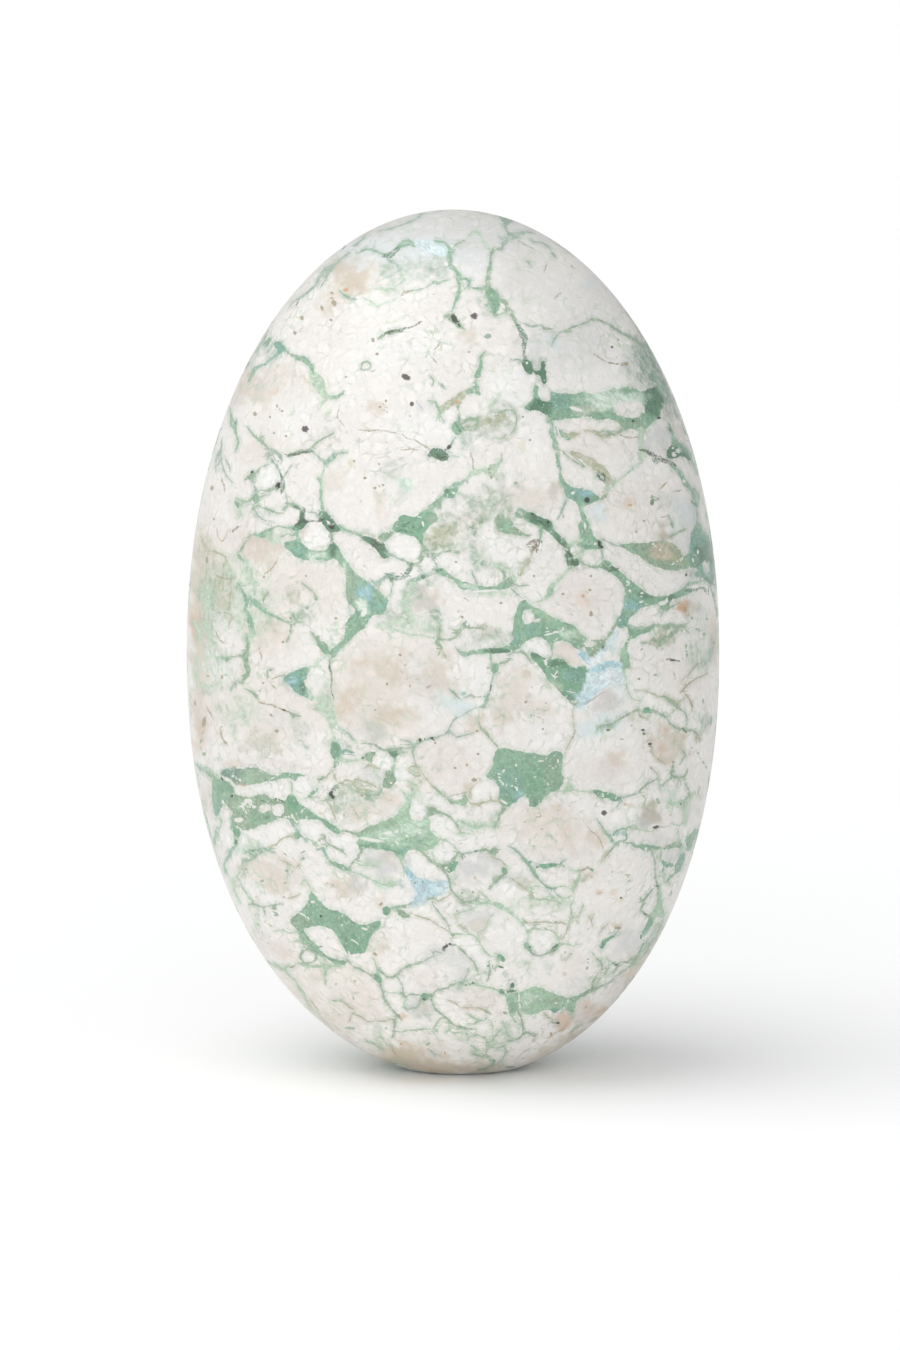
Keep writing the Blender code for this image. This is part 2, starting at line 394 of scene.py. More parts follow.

# %% Right shoulder, with the long pool under the great lump
# In the notes below, the wide grey oval at 440,238 is painted shade over the crown, and the frost oval at
# 400,252 is a painted cool reflection on it.
draw("""
seam slate 512,360,.8 517,359,1.2 522,361,1.4 | 592,466,2 598,472,3.2 603,478,3.6 609,481,2.4 | 671,395,1 \
673,404,1.2 675,412,1 678,418
seam jade 549,421,2.4 552,426,1.6 551,432 554,438,2 555,445,2.4 557,451,1.6 557,457,1 558,463,1.6 \
560,470,1.7 561,477,1.4 563,483,1.6 | 560,430,1.2 563,434,2.6 568,437 | 669,424,.9 671,430,1.4 673,437,1.6 \
676,443,2.4 682,447 688,452 693,458,2 695,466 697,473,1 | 672,466,1.8 677,470,2.5 681,475,2.2 684,480,1.8 \
687,485,2.4 690,489,1.8 | 655,374,1.6 659,380 664,387,1.4
seam umberhaze 567,436,2.4 573,435 578,434,1.2 | 586,430,.8 594,432,1.8 600,434,2.2 606,437,1.6 | \
572,452,1.5 579,455,2.4 586,460,3.4 593,465,4.4 599,470,4.8 604,475,5 608,480,4 612,484,3
seam moss 600,432,1.2 607,433,1.8 613,433,2.4 619,432,1.8 624,429,1.6 | 563,452,.8 570,458 577,463 585,467
seam umber 619,434,.8 625,437 632,438,.9 637,437,.5 | 596,355,.9 600,358,.7 606,362,.5
seam pale 641,430,2.4 643,437,2.6 642,444,2.2 641,450,3 642,457,4 640,463,2 636,466,1.6 630,471,1.2 \
624,476,.9 618,481,1.6 612,485,2.6 606,489,2.4
seam coal 598,475,.9 602,480,1 | 601,472,.7 606,477,.8 | 642,450,1.2 648,452,1.4 653,455,2 658,458,2.6 \
664,461,2.2 669,462 674,465,1.4
seam deep 653,461,1 656,463,1.2 659,461,1 | 669,429,1.2 672,431
pool deep 520,361 526,358 531,361 533,367 533,372 530,376 526,372 523,368 | 541,362 546,359 545,366 \
547,374 546,382 544,386 539,379 535,374 534,371 540,371
pool jade 523,409 529,404 533,399 534,392 533,386 538,384 538,396 542,401 550,401 552,394 551,391 556,394 \
567,392 573,394 580,392 588,394 596,394 604,391 612,388 618,389 627,386 634,388 640,392 645,391 650,388 \
655,386 659,388 662,395 665,404 661,411 659,418 652,422 647,428 641,432 632,429 625,430 620,424 614,420 \
606,419 597,420 590,418 583,416 578,418 570,419 562,419 556,421 551,421 547,416 540,411 532,410
pool deep 668,449 672,442 680,443 686,450 692,458 690,462 684,456 678,457 672,459 666,458
lump 544,392,5.8,8.2,5 536,378,4.8,3.6,-25 537,366,4.2,5.6 629,409,16,9,-3 576,409,7,1.8,-15 \
527,363,1.4,1.2 557,430,3.4,3 645,438,1.6,2 679,450,3.6,2.6,20 673,448,1.4,1.2 674,455,2.4,1.8 \
684,481,1.4,1.8,30
tint deep 543,407,14,9,25,.9 653,400,10,18,0,1 651,393,7,6,0,.6
tint mint 612,400,32,10,0,.85
tint cream 585,410,14,4,8,.3
tint mint 632,396,6,4,0,.6
tint moss 628,424,14,5,0,.85
tint teal 560,401,12,8,0,.55
haze moss 642,436,6,14,0,.4
haze slategreen 648,362,11,30,18,.75 664,392,8,26,15,.7 634,372,12,22,15,.3
stain rose 668,414,6,9,0,.35 681,432,8,12,15,.5
stain grey 659,440,13,17,0,.5 640,355,14,16,0,.35
stain snow 512,388,24,22,0,.5 590,370,34,18,0,.35 532,432,18,28,0,.35
stain cream 590,440,40,22,0,.2
stain grey 535,350,10,16,0,.4 538,366,5,6,0,.5 440,238,120,30,0,.45
stain frost 400,252,70,18,0,.35
stain grey 575,330,40,60,-40,.25
speck moss 615,414,1.8,1.6 523,330,.8,.8
speck coal 633,421,1.5,1.2 659,418,1.9,1.4
speck umber 610,363,1.6,1.2 617,364,1.8,1 626,364,2.6,2
""")

# %% Left flank, from the round lumps down to the great cream lump
draw("""
seam moss 238,499,1 243,502 249,501 254,498,1.6 | 261,490,.6 265,491,.9 270,490,1.1 275,489 | 259,498,1 \
263,496,.8 269,495,.4 | 257,505,.8 262,508,.9 267,509,.8 272,511,1 277,513,1.1 281,513 | 282,510,.6 \
285,508,1 289,505,1.6 293,505,2.6 297,507,2 | 248,538,.7 251,535,.9 255,534 | 283,536,.8 288,533,.9 \
292,536,.6 | 246,541,.7 243,547,.9 240,551,1 | 286,622,1.3 293,622,1.7 299,622,.9 | 293,615,1.1 \
295,619,1.2 291,626,.8 290,634,.7 287,641,.6 | 263,600,.8 266,595,.6 269,592,.4 | 312,633,.9 315,637,1.6 \
318,641,1.8 | 246,640,1.5 249,646,1.2 248,652,1.4 | 233,657,.9 238,656 243,656,1.5 246,652,1.7 | \
241,683,1.2 237,682,2 236,685,1 | 247,690,.6 252,692,1 255,695,1.2 258,699,.9 | 290,713,1.3 294,716,2.6 \
298,716,1 | 268,677,.9 267,671,.7 271,670,.9 | 303,584,.5 308,588,.8 313,592,.7 316,598,1
seam jade 255,503,1.6 253,509,1 | 268,531,1.3 273,528,1.1 278,526,.9 283,527,.8 287,528 292,527,1 | \
239,585,.8 243,592,1.4 245,598,1.9 246,604,1.6 245,609 | 248,597,1 252,599,2.2 257,604,2.6 262,608 \
268,613,1.6 274,616,1.1 280,619,1.3 286,622 | 296,530,2.2 298,536,1.8 299,543,2.4 | 319,480,1 322,485,1.5 \
321,491,1.1 321,498 322,506,1.6 323,511,1.8 | 333,655,2.2 338,649,2.6 343,644,2.4 349,638,2.6 352,632,3 | \
336,759,1.4 335,765,1.2 334,769,.6 | 247,636,1.2 248,644,1.5 246,651,1.2 | 218,658,1.4 222,657,1.6 \
226,660,2 230,658,1.2
seam pale 239,509,1 240,515,.9 239,520,.5 | 268,536,2.2 274,541,1.6 279,543,1 | 244,561,1.4 249,568,1.2 \
251,575,1.1 253,581,1.5 257,583,.9 | 241,587,.7 247,585,1.1 252,582,1.6 255,588,1.8 255,594,1.6 \
251,598,1.8 | 316,666,.6 320,661,.8 325,657,.7 | 310,667,1.4 314,667,1 | 308,690,1.8 311,698,2 317,699,1.8 \
324,698,2.2 330,698,1.8 | 321,702,3.4 324,709,4.4 328,716,3 331,723,2.4 332,730,1.2 335,738,1.3 | \
331,700,1.6 333,708,1.1 334,716,1.2 338,726,.8 344,733,.9 350,738,1.4 356,742,.8 | 338,760,1.5 346,761,1.8 \
354,761 361,758,1.4 | 205,657,.8 212,656,1.2 219,658,1.4 | 197,655,1 196,664,.8 196,676,1 197,686,.8 | \
202,684,.8 207,687,1.4 213,686,1.2 218,683,.6 | 243,711,.8 247,718,1.1 249,724,.8 | 236,718,1.2 241,716,.8 \
245,722,.6 | 235,727,1 233,735,.9 236,741,.5 | 205,624,1.6 210,630,1.3 212,638,1.2 210,645,.7 | 195,622,1 \
199,632,1.3 202,641,.9 | 208,585,1.2 208,594,1.5 207,603,1.8 205,612,.8
seam slate 285,493,.5 287,499,.6 288,504,.4 | 255,510,.6 258,516,.8 262,519,1.1 266,521,.7 271,521,.4 | \
310,512,.5 316,513,.7 320,516,.8 | 330,660,.5 330,668,.8 | 345,730,.6 350,736,1 356,741,.9 | 232,688,1.6 \
233,685,1
seam deep 296,507,1.6 300,509,1.2 303,512,2.6 302,517,2.2 | 331,536,2.2 332,542,1.8 332,547,2.6
seam coal 234,530,1.1 238,527,.6 | 298,524,1.4 302,520,1.5 306,522,1.3 310,521,.9 315,521,.8 320,521,1.2 \
322,520 | 330,668,1.1 331,673 332,680,.7 331,688 332,694 334,698,.5
seam tanline 217,530,.6 218,538 222,542 226,537 227,531,.4
seam umberhaze 201,538,1 205,546,1.5 207,552,1.1 | 210,551,1 216,552,1.6 221,554,.9 226,557,.6 | 225,558,1 \
226,562,1.6 223,567,.9 224,571,1.3 222,576,.6 | 231,578,.8 231,591,1 230,599,1.2 229,606,.9 | 225,612,.4 \
232,616,1 231,620,1.2 229,626,.9 | 215,581,1 215,585,1.2 | 223,577,.8 223,588,1.2
seam umber 216,575,.5 222,578,.8 230,579,.5 | 260,702,.9 265,704 272,705,.8 279,708,1 285,711,.9 \
290,712,.6 | 274,678,.8 279,676,.7 284,676,.5 | 270,683,.6 274,687,1 | 221,729,1 221,734,1.2 222,738,.7 \
226,743,1.3 | 207,708,.8 211,714 213,719,.5 | 216,632,.5 219,640,.9 224,643,.5 | 259,647,.5 260,652,.9 \
262,658,.6 | 277,560,.5 274,566,.6 270,570,.9 266,573,.5
seam teal 341,752,1.4 346,750 351,752
pool jade 234,498 240,503 240,506 238,510 235,505 | 252,498 256,492 259,497 259,501 256,505 253,502 | \
254,535 261,532 268,530 272,534 270,538 264,538 259,537
pool moss 236,556 239,552 242,556 245,561 244,564 240,560
pool pale 243,609 247,609 251,615 254,621 254,627 257,634 253,639 249,637 249,627 245,619
pool jade 281,543 287,541 293,541 300,540 303,545 309,549 315,551 322,551 327,549 332,553 333,559 328,561 \
320,559 312,559 304,561 297,557 290,552
pool deep 290,529 296,525 299,520 301,512 305,511 304,518 308,521 307,524 302,529 297,531 | 321,511 \
325,510 330,515 334,521 339,526 343,530 337,532 333,533 332,538 330,533 326,528 322,522 318,515
pool jade 326,549 330,545 333,541 336,545 339,549 343,556 348,562 352,568 356,574 362,578 368,582 375,587 \
380,592 384,596 389,598 388,603 386,610 382,616 377,614 371,617 368,621 365,627 358,632 350,640 343,645 \
338,650 333,655 329,655 331,650 338,645 345,638 345,629 347,621 350,614 348,604 346,596 345,587 346,579 \
345,572 341,566 337,561 332,558 | 316,637 320,641 326,643 329,649 331,654 327,656 323,654 320,649 316,644
pool teal 282,678 290,673 297,670 303,668 310,667 307,674 307,679 303,680 305,685 309,690 309,698 303,696 \
296,693 292,688 286,682
pool jade 331,742 336,740 341,745 342,751 340,757 337,760 333,759 331,752
pool moss 242,655 248,653 248,663 250,670 250,676 246,680 241,683 242,676 246,672 243,664
lump 249,590,4.2,3.4 328,522,2.2,.9,-35 352,610,3.2,5,30 364,613,2.2,4.2,-30 360,604,5.2,1,-30
tint jade 250,620,4,8,15,.8
tint mint 316,556,10,3,5,.9
tint teal 300,552,8,6,40,.6
tint moss 352,588,7,18,0,.7
tint blue 364,593,7,9,20,.8
tint teal 377,606,9,8,0,.7
tint mint 362,606,9,5,-30,.8
tint deep 333,550,5,6,0,.9
tint mint 345,567,3,5,0,.8
tint jade 352,630,8,9,30,.5
tint blue 293,682,5,4,0,.8
tint deep 305,688,5,6,30,.8
tint jade 303,673,6,4,0,.6
tint deep 336,750,5,9,0,.35
haze palejade 206,600,6,20,0,.4
haze sage 226,570,8,11,0,.3
haze umberhaze 218,584,7,7,0,.35
haze sage 204,629,8,10,0,.4 211,641,7,7,0,.3
haze palejade 249,572,6,13,25,.5
haze umberhaze 294,596,5,8,0,.45 266,592,5,4,0,.35
haze palejade 297,618,9,4,0,.4
haze umberhaze 270,626,10,5,0,.25
haze palejade 262,633,4,4,0,.3
haze umberhaze 270,566,5,8,-40,.25
haze sage 222,585,26,30,0,.3
haze moss 208,620,12,34,0,.35
haze palejade 250,618,24,20,20,.35
haze sage 214,668,16,20,0,.35
haze olive 205,560,10,24,0,.3
haze palejade 262,592,16,14,0,.2
haze sage 240,710,22,14,0,.3
haze moss 300,728,9,8,0,.35
haze palejade 325,690,10,14,0,.35
haze slate 245,508,8,10,0,.3 262,514,10,5,20,.35
haze moss 228,585,14,24,0,.3 211,600,10,30,5,.28
haze pale 280,536,12,6,10,.5
haze slate 284,683,6,7,0,.4
haze moss 322,706,9,7,0,.7
haze slate 347,746,8,4,0,.5
haze moss 206,692,8,5,0,.4
haze slate 260,745,16,12,0,.25
haze jade 302,744,8,5,-30,.35
haze moss 305,612,10,10,0,.35
stain rose 268,545,16,12,0,.35
stain tan 262,742,20,12,0,.4
stain grey 280,722,20,12,0,.25
stain rose 205,720,12,30,0,.3
stain tan 200,650,8,50,0,.3 196,600,7,60,0,.5
stain rust 194,622,5,14,0,.35
stain tan 205,560,12,40,3,.25 198,700,6,50,0,.35
stain rust 200,735,6,14,0,.25 222,600,8,12,0,.3
stain rose 212,575,12,30,5,.3 236,540,24,22,0,.25
stain tan 262,550,18,18,0,.4
stain cream 300,590,46,36,0,.4
stain tan 268,635,26,20,0,.3
stain cream 270,705,60,40,0,.3
stain snow 318,682,10,12,0,.5 315,535,12,13,0,.35 218,670,16,10,0,.3 300,612,14,14,0,.3
stain rust 304,533,3,4,0,.3
speck moss 214,519,1.2,1.4 318,637,1.8,1.4 204,754,2,2 201,741,1,2.6,-20 316,599,1.6,1.4 307,608,1.8,1.6
speck umber 207,560,1.3,3.4,5 212,488,1.6,2.6,-15 263,683,1.4,.9,20 283,642,1.4,1.3 277,731,2.2,1.6 \
271,715,2,1,-50 204,722,2,5,-10 195,703,1,2.6 208,676,1.2,1.2 222,677,1,2.2 291,618,1.4,1.2 306,576,1,1 \
336,618,1.4,1.2 264,577,1.1,1.4
speck coal 332,527,2.8,2.6,30 284,710,2,.9,-18
speck teal 343,752,1.8,1.8
""")

# %% Middle: the dark crumbs under the long lump, the round lumps and the green band
draw("""
seam jade 338,526,1.4 343,528,1.1 347,531,1.2 352,532,2.4 356,532,1.8 361,536,1.2 | 446,490,1.2 \
452,487,2.2 458,484 463,482,1.2 467,480,.8 | 441,498,1.6 438,502,1.8 435,505,2.6 430,508,2 427,511,1.6 | \
412,581,1.6 417,579,1.8 422,576,2.6 427,576,2.2 432,573,1.8 436,571,2.8 441,571,2.4 | 541,529,1.6 \
541,535,1.4 540,541,.8
seam coal 374,540,1.4 378,543,1.6 382,547,1.4 | 371,544,1 377,549 | 403,525,.8 408,523,.9 | 540,521,.9 \
543,524,1.2 | 567,552,1 571,556,1.2 573,562 571,566,1
seam deep 398,531,1 402,530,1.2 412,533,1 | 411,566,2 409,570,2.2 406,574,2 404,577,1.4 | 388,575,1.6 \
392,578,2.8 397,578,2.4 403,578,2 407,576,1.2 | 435,570,1.4 439,571,1.6 441,570,1
seam moss 441,502,.9 440,507,1.2 | 473,527,1.8 477,527,1.2 475,533,1.4 | 408,563,1.6 412,565,2.4 417,563 \
421,558,2.2 424,553,2 424,547,1.2 | 424,553,1.8 430,555 437,555,1.6 441,552,.9 450,551 458,552,1.6 | \
391,579,1.6 393,584,1.1 | 472,572,.6 474,577,.9 477,583 | 501,570,1.2 505,573,1.6 505,577,1.4 | 581,562,.9 \
586,565,.8 592,567 598,567,1.2 | 602,498,1.2 605,496,1.8 608,491,1.3 609,486,1.2 | 512,583,.5 519,586,.6 \
527,585,.5 | 512,589,.5 517,594,.7 521,597,.8
seam slate 388,554,1.8 394,556,.9 399,559 404,560,1.1 409,563,1.5 | 383,579,1 387,577,1.6 391,575,2.4 | \
381,582,.7 378,587,1.1 380,592,1.4 | 391,583,.5 392,589,.6 390,596,.5 | 371,580,.5 376,584,1.4 381,580,1 \
386,575,.8 | 432,557,.7 435,562,.8 437,566 437,569,1.2 | 419,567,.6 423,573,.9 427,575,.7 | 432,611,1.2 \
437,610,1.4 440,614,1.3 437,619,1.2 433,616,1 | 566,502,1.2 563,508,1.1 560,514 558,518,.7 | 601,551,.7 \
603,557,.9
seam pale 412,583,2 414,588,2.2 411,594,1.6 405,599,2.2 405,606 409,612,1.4 | 384,622,.8 396,630,1 410,635 \
422,635,.8 431,638,.7 | 496,566,1.6 504,567,1.8 511,571,2 514,577 | 572,558,1.6 577,556 582,552,1.8 | \
571,545,2 576,542 580,541,1.6 | 570,568,2 566,572,1.7 562,577,1.6 557,581,1.7 | 546,599,1.5 541,601,1 \
536,602,.9 531,604,.8
seam umber 464,598,.5 467,600,1
seam umberdark 529,543,1.4 535,541,2.4 539,541,1.6 537,546 534,549,2.6 532,547,1
seam umberhaze 533,550,2 531,556 529,562,1.6 524,568,1.5 521,573,1
pool deep 360,537 367,536 372,537 378,543 384,542 386,547 387,552 390,555 388,558 383,559 379,554 374,547 \
367,542
pool moss 377,537 384,532 392,531 397,534 391,537 385,542 379,541
pool deepjade 391,529 394,525 397,520 401,515 408,516 414,518 418,514 424,511 432,511 438,515 438,521 \
431,524 427,530 424,534 423,541 424,548 421,544 417,539 411,536 404,534 398,533 | 445,491 449,488 454,488 \
459,485 459,490 456,495 453,499 448,499 444,497 440,499 443,495
pool jade 440,569 446,572 453,577 461,581 470,584 477,585 484,587 491,586 498,585 503,582 508,578 513,575 \
514,582 509,588 500,590 490,590 482,591 472,590 463,590 457,586 453,580 446,577 440,575 | 515,510 521,508 \
526,511 531,512 536,515 543,518 549,520 553,522 553,528 557,532 562,537 567,542 571,545 571,551 566,549 \
562,546 557,541 552,536 547,531 541,529 536,525 529,522 522,519 516,517
pool moss 495,521 505,518 512,520 514,527 520,530 525,533 530,533 531,537 525,536 512,534 500,533
pool deep 566,549 570,551 573,556 577,558 581,561 579,565 575,567 571,569 567,564 566,557
pool jade 561,480 568,484 575,488 583,489 590,491 597,495 601,498 598,501 592,502 588,505 584,507 584,513 \
587,517 587,521 590,525 592,532 595,538 601,541 603,545 603,549 597,550 590,549 584,550 579,555 576,555 \
578,550 575,545 577,541 580,538 579,532 578,525 582,520 579,515 579,508 577,503 571,500 567,500 564,493 \
563,486
pool pale 551,583 557,581 554,588 554,593 550,597 546,600 544,598 547,594 547,589
lump 423,524,1.1,2.8,15 416,515,2.6,1,40 454,493,1.3,1.2 465,537,5.4,9 416,561,3.4,1.2,20 484,591,12,1,4 \
548,534,2.2,1.6,-30 527,528,12,4.4,-22 533,537,2.4,1.6 577,550,5,4.6 585,526,1.3,3.4,5 595,544,.9,1.6 \
573,493,2,1.4,30
tint moss 432,518,8,5,0,.8
tint mint 470,587,12,3,-8,.55
tint moss 508,578,8,6,0,.7 452,578,8,4,-30,.6
tint deep 541,522,14,5,-25,.9 560,541,9,5,-50,.7
tint moss 521,514,6,4,0,.5
tint jade 505,527,7,4,0,.7
tint teal 578,496,14,5,-15,.7
tint blue 586,493,9,4,-15,.9
tint mint 583,507,4,4,0,.7
tint deep 600,545,4,5,0,.8
tint moss 588,530,4,8,0,.5
tint jade 550,593,4,5,0,.5
haze moss 368,533,10,4,-10,.4
haze olive 440,536,20,13,0,.6
haze moss 446,522,14,9,0,.5 440,547,20,5,0,.6 478,508,16,16,0,.6 500,500,14,22,0,.5
haze umber 470,520,12,8,0,.3
haze moss 472,545,10,14,0,.5
haze jade 478,560,10,7,0,.6
haze moss 490,566,16,4,0,.5
haze pale 490,594,18,3,0,.7
haze moss 412,590,8,8,0,.7
haze jade 405,602,6,6,0,.6
haze moss 430,582,10,4,20,.4 398,614,18,9,0,.5
haze pale 420,625,24,8,0,.7
haze moss 437,622,6,12,0,.5
haze pale 390,625,16,5,0,.6
haze moss 502,524,10,7,0,.9 520,566,8,4,30,.4
stain umber 446,532,9,7,0,.35
stain tan 426,600,13,13,0,.6
stain grey 422,598,12,12,0,.4
stain snow 400,548,18,11,0,.4 400,587,9,9,0,.5 440,560,26,10,0,.35 516,552,30,14,0,.35 550,570,14,26,0,.35
stain cream 580,595,34,26,0,.3
stain snow 500,580,18,7,0,.35
stain tan 530,498,28,14,0,.25
stain umber 555,489,8,8,0,.3
stain ice 598,512,7,10,0,.6
stain rust 583,600,8,7,0,.2
speck grey 361,501,1.1,1.6
speck deep 413,527,1.7,1.4 447,491,2.6,2.2 423,577,2.4,2,30
speck umber 456,562,1.4,1.1 462,617,1.6,1.1,-30 591,576,1.3,1.2 590,590,1.5,1.2 563,594,1.4,1.2 \
591,614,1.8,2.6 534,576,1.3,1.2 501,603,1.6,1.2
speck coal 548,522,1.3,1.6 532,514,1.2,1 587,500,3,2.8,20 598,543,1.9,2.6 602,547,1.5,1.2
speck rust 583,596,1.8,1.7
""")

# %% Right flank: the forked green band and the olive pool
draw("""
seam coal 610,571,1 614,570,1.2 617,569,.8
seam pale 603,562,.6 608,568
seam slate 661,616,.5 663,611,.9 | 604,540,.8 610,543,.7 614,545,.8 619,546,.7 | 690,489,1 695,489,1.2 \
698,495,1.6 698,502,1.4 | 696,507,.8 697,513,1.1 697,520 698,525,2 | 707,506,.9 709,518,1.2 711,530,1.4 | \
710,648,.7 709,658,1.5 706,663,1.2 | 713,640,1 712,652,1.2 709,660,1.6
seam moss 668,608,1.6 673,606,.9 679,603,.5 | 669,517,.7 671,521,1.6 672,524,1.4 | 671,536,.7 675,534,1 \
680,531 684,530,1.1 | 658,626,1.2 666,626,2.4 674,626,2 681,625,.8 686,624,1.2 | 679,629,1.6 672,634,2.4 \
665,639,3 659,644,2.4 654,641,1.4 | 685,629,.9 688,632,.8 | 643,643,.8 649,643,1.1 653,639,.9 | 690,672,.7 \
694,668,.9 697,663,.7
seam jade 685,482,2 688,487 691,490,1.6 693,495 695,500,2.6 696,505,2 | 698,524,1.6 702,531,1.4 706,536 | \
684,588,1.4 689,584,1.8 695,583,1.3 701,581,1.4 | 629,626,1.6 636,628 643,628,1.4 651,626 658,625,1
seam deep 694,503,1.6 696,505,1.4 | 688,590,2 694,590,1.4 699,588,1.1 704,588,1.2 706,592,1.1 | \
703,577,1.2 707,580,1.6 711,584 713,576,1 | 711,588,.8 714,597,1.4 716,606,1.2 717,616,.8
seam tanline 661,488,.9 665,484,1.1 | 663,517,.8 667,516,.9
seam umber 675,491,.8 679,491,.9 | 701,677,.5 706,674,.6 | 682,691,1 686,686,.8 691,682,.7 697,678,.5 \
703,675,.4 | 686,695,.7 690,700,1 692,705,1.1 | 674,673,.6 675,677,.8
pool jade 596,567 601,563 602,560 608,560 613,565 618,570 625,576 632,582 640,588 648,594 655,597 662,597 \
668,596 674,593 680,590 688,589 694,590 693,593 687,594 680,597 672,600 669,603 671,606 667,610 663,611 \
659,607 657,604 650,605 643,607 637,611 632,616 628,620 627,624 622,628 617,625 617,620 620,614 623,608 \
624,601 625,594 625,587 620,580 613,574 605,571
pool moss 618,545 624,544 632,543 640,543 648,543 655,542 661,540 668,541 674,543 679,549 682,556 687,555 \
690,550 690,568 680,570 672,571 663,569 656,567 648,563 641,558 634,553 626,549
pool teal 690,540 692,531 694,526 698,523 702,530 706,536 710,534 713,540 716,555 717,570 716,578 712,585 \
707,582 703,576 700,572 697,567 690,568 687,560 690,550
pool jade 629,628 636,630 644,630 650,628 652,631 645,633 639,635 634,638 630,637 632,632
lump 663,603,4.6,2.2,15 667,599,.9,1.6 630,591,1.3,1.7,20 641,602,2.4,1.1,20 628,582,2,1.2,-40 \
642,593,1.4,1.2 706,567,3.4,7,5 653,544,1.5,.9 660,550,1.2,.9 682,559,.8,2.2,-15 693,560,.8,2.4,15 \
698,552,1,2.6 673,564,2,.8,35 695,587,3.6,1.8
tint deep 610,568,9,4,-30,.7 668,598,8,4,15,.6 645,595,7,4,-30,.6
tint teal 632,602,9,9,40,.8
tint blue 630,606,6,6,0,.5
tint teal 622,622,6,6,0,1
tint tan 660,552,14,9,0,.6
tint jade 632,548,10,3,-20,.6
tint olive 676,555,7,8,0,.9
tint moss 670,566,20,4,0,.6
tint deep 700,556,10,12,0,.8 712,552,6,22,0,.6
tint jade 690,563,8,5,0,.5
haze moss 662,500,10,7,0,.25
haze slate 695,574,8,6,0,.6
haze slategreen 714,560,6,30,0,.8
haze moss 670,627,12,4,0,.7
haze pale 655,630,8,6,0,.5
haze moss 700,640,12,30,0,.25
stain rust 629,503,8,4,20,.35
stain umber 664,534,9,8,0,.6
stain ice 682,512,12,16,10,.5
stain grey 690,540,14,60,0,.35
stain snow 640,470,28,14,0,.25
stain cream 640,505,40,28,0,.25
stain rust 682,607,7,5,0,.7
stain umber 690,610,10,8,0,.3
stain tan 715,640,5,26,0,.4
speck deep 652,503,1.8,2.6
speck moss 652,497,1.4,1.8 658,499,1.7,1.2 707,619,1.6,1.2 692,618,1.4,1.6 686,646,1.2,2.4 687,655,1.4,2 \
697,629,1.6,1.2 704,634,1,2,30 703,701,1,2.4
speck rust 630,505,2.4,1.2 681,608,4.2,1.8,-10
speck umber 644,521,1.3,1.2 636,532,1,1.4 685,610,1.4,2.8 642,649,1.4,1 668,659,2.2,.9,10 679,661,1.2,1.1 \
655,675,1.4,1.3 639,679,1.5,1.2
speck coal 686,575,1,1.8 673,660,2,1.2,15
speck teal 697,574,2.2,2.6
""")

# %% The great cream lump
draw("""
seam moss 440,628,1 439,636,1.6 437,643,1.8 441,647,1 | 441,639,.8 449,640,.9 456,637,1.4 460,632,2 \
462,627 465,623,1 | 451,629,.6 456,631,1 459,635,1.2 | 462,626,.9 470,628,.8 480,628,.9 | 451,690,.8 \
455,693,1.4 457,697,1.5 459,698,.8 | 467,697,.6 471,695,1.1 474,697,.6 480,697,.4 | 421,741,1.1 \
418,744,1.3 414,748,1.1 413,753,1 414,759,.9 416,764,.8 419,767,1.5 | 364,743,.5 372,744,.9 376,744,1.1 \
378,748,1.5 384,750,1.2 390,750,1.6 398,749,1.4 406,748,1.3 413,747,1 | 478,718,.4 480,727,.8 483,731,1.1 \
488,736,.7 494,743 498,747
seam umberhaze 438,655,.8 441,650,1.2 445,655,1.4 | 366,766,.9 371,764,1 375,767,1.2 378,768,.8
seam jade 457,649,.6 461,653,1.3 466,655,1.8 473,652 480,652,2.2 487,651,2.6 | 490,654,1 491,660,1.2 \
492,665,1.4 | 494,673,1.4 492,680,1 491,686 490,691,.8 488,695,1 487,700,1.5 484,706
seam deep 486,651,2 493,651,2.6 500,651,2.4 507,650,1.6
seam slate 483,707,.5 476,708,.4 469,711 462,716 453,720,.7 449,729,.8 445,734,1 441,736,.9 436,738,.8 \
431,738,.9 426,740 421,741,1 | 402,740,.5 408,741,.8 412,743,1.2 416,745,1 | 395,759,1 394,765,.8 \
391,770,.6 | 448,731,.7 452,733,1.3 455,737,1.1 462,736,.6 472,733,.5
pool jade 491,666 495,663 500,664 499,669 496,673 493,675 491,671
pool aqua 459,693 463,692 468,693 465,695 462,696
pool deep 386,750 394,750 399,753 397,757 395,760 391,755
pool moss 364,755 370,752 377,750 376,754 372,758 373,763 368,761 362,760
haze moss 492,636,18,9,0,.55
haze umber 488,630,10,5,0,.3
haze slate 470,645,10,5,0,.25
haze pale 414,744,9,5,0,.5
haze jade 404,754,6,5,0,.6
stain cream 395,690,62,54,0,.6
stain tan 398,714,22,8,0,.55 390,668,16,14,0,.4 345,690,14,30,0,.3
stain rust 362,662,8,6,0,.25 345,702,10,14,0,.15
stain yellow 363,692,2.5,7,10,.4
stain olive 374,726,10,12,0,.4
stain grey 370,733,16,10,0,.3 430,690,24,26,0,.2
stain tan 438,675,14,18,0,.25
stain snow 343,680,8,10,0,.35 415,665,12,8,20,.35 470,672,18,16,0,.45 425,705,24,12,-20,.35
stain ice 458,706,20,9,-15,.55
stain tan 473,723,10,9,0,.45
stain snow 384,758,8,8,0,.5 430,722,18,12,0,.35
stain cream 445,765,34,26,0,.35
speck umber 400,655,1.5,1.4 387,684,1.3,1.4 477,731,1.5,1.1 467,765,1.5,1.1,-30 478,754,1.4,1.4,30 \
455,768,1.6,1 435,743,1.2,1.2
speck tan 417,679,2.6,.9 402,672,2,.9,-35
speck rust 410,686,.9,2.4
speck moss 375,710,1.4,1
speck slate 488,668,1.3,1
speck coal 491,686,.8,.9 490,690,.6,.7 432,738,1.6,1.2 420,740,1.8,1.7
speck deep 363,758,1.5,1.3
""")

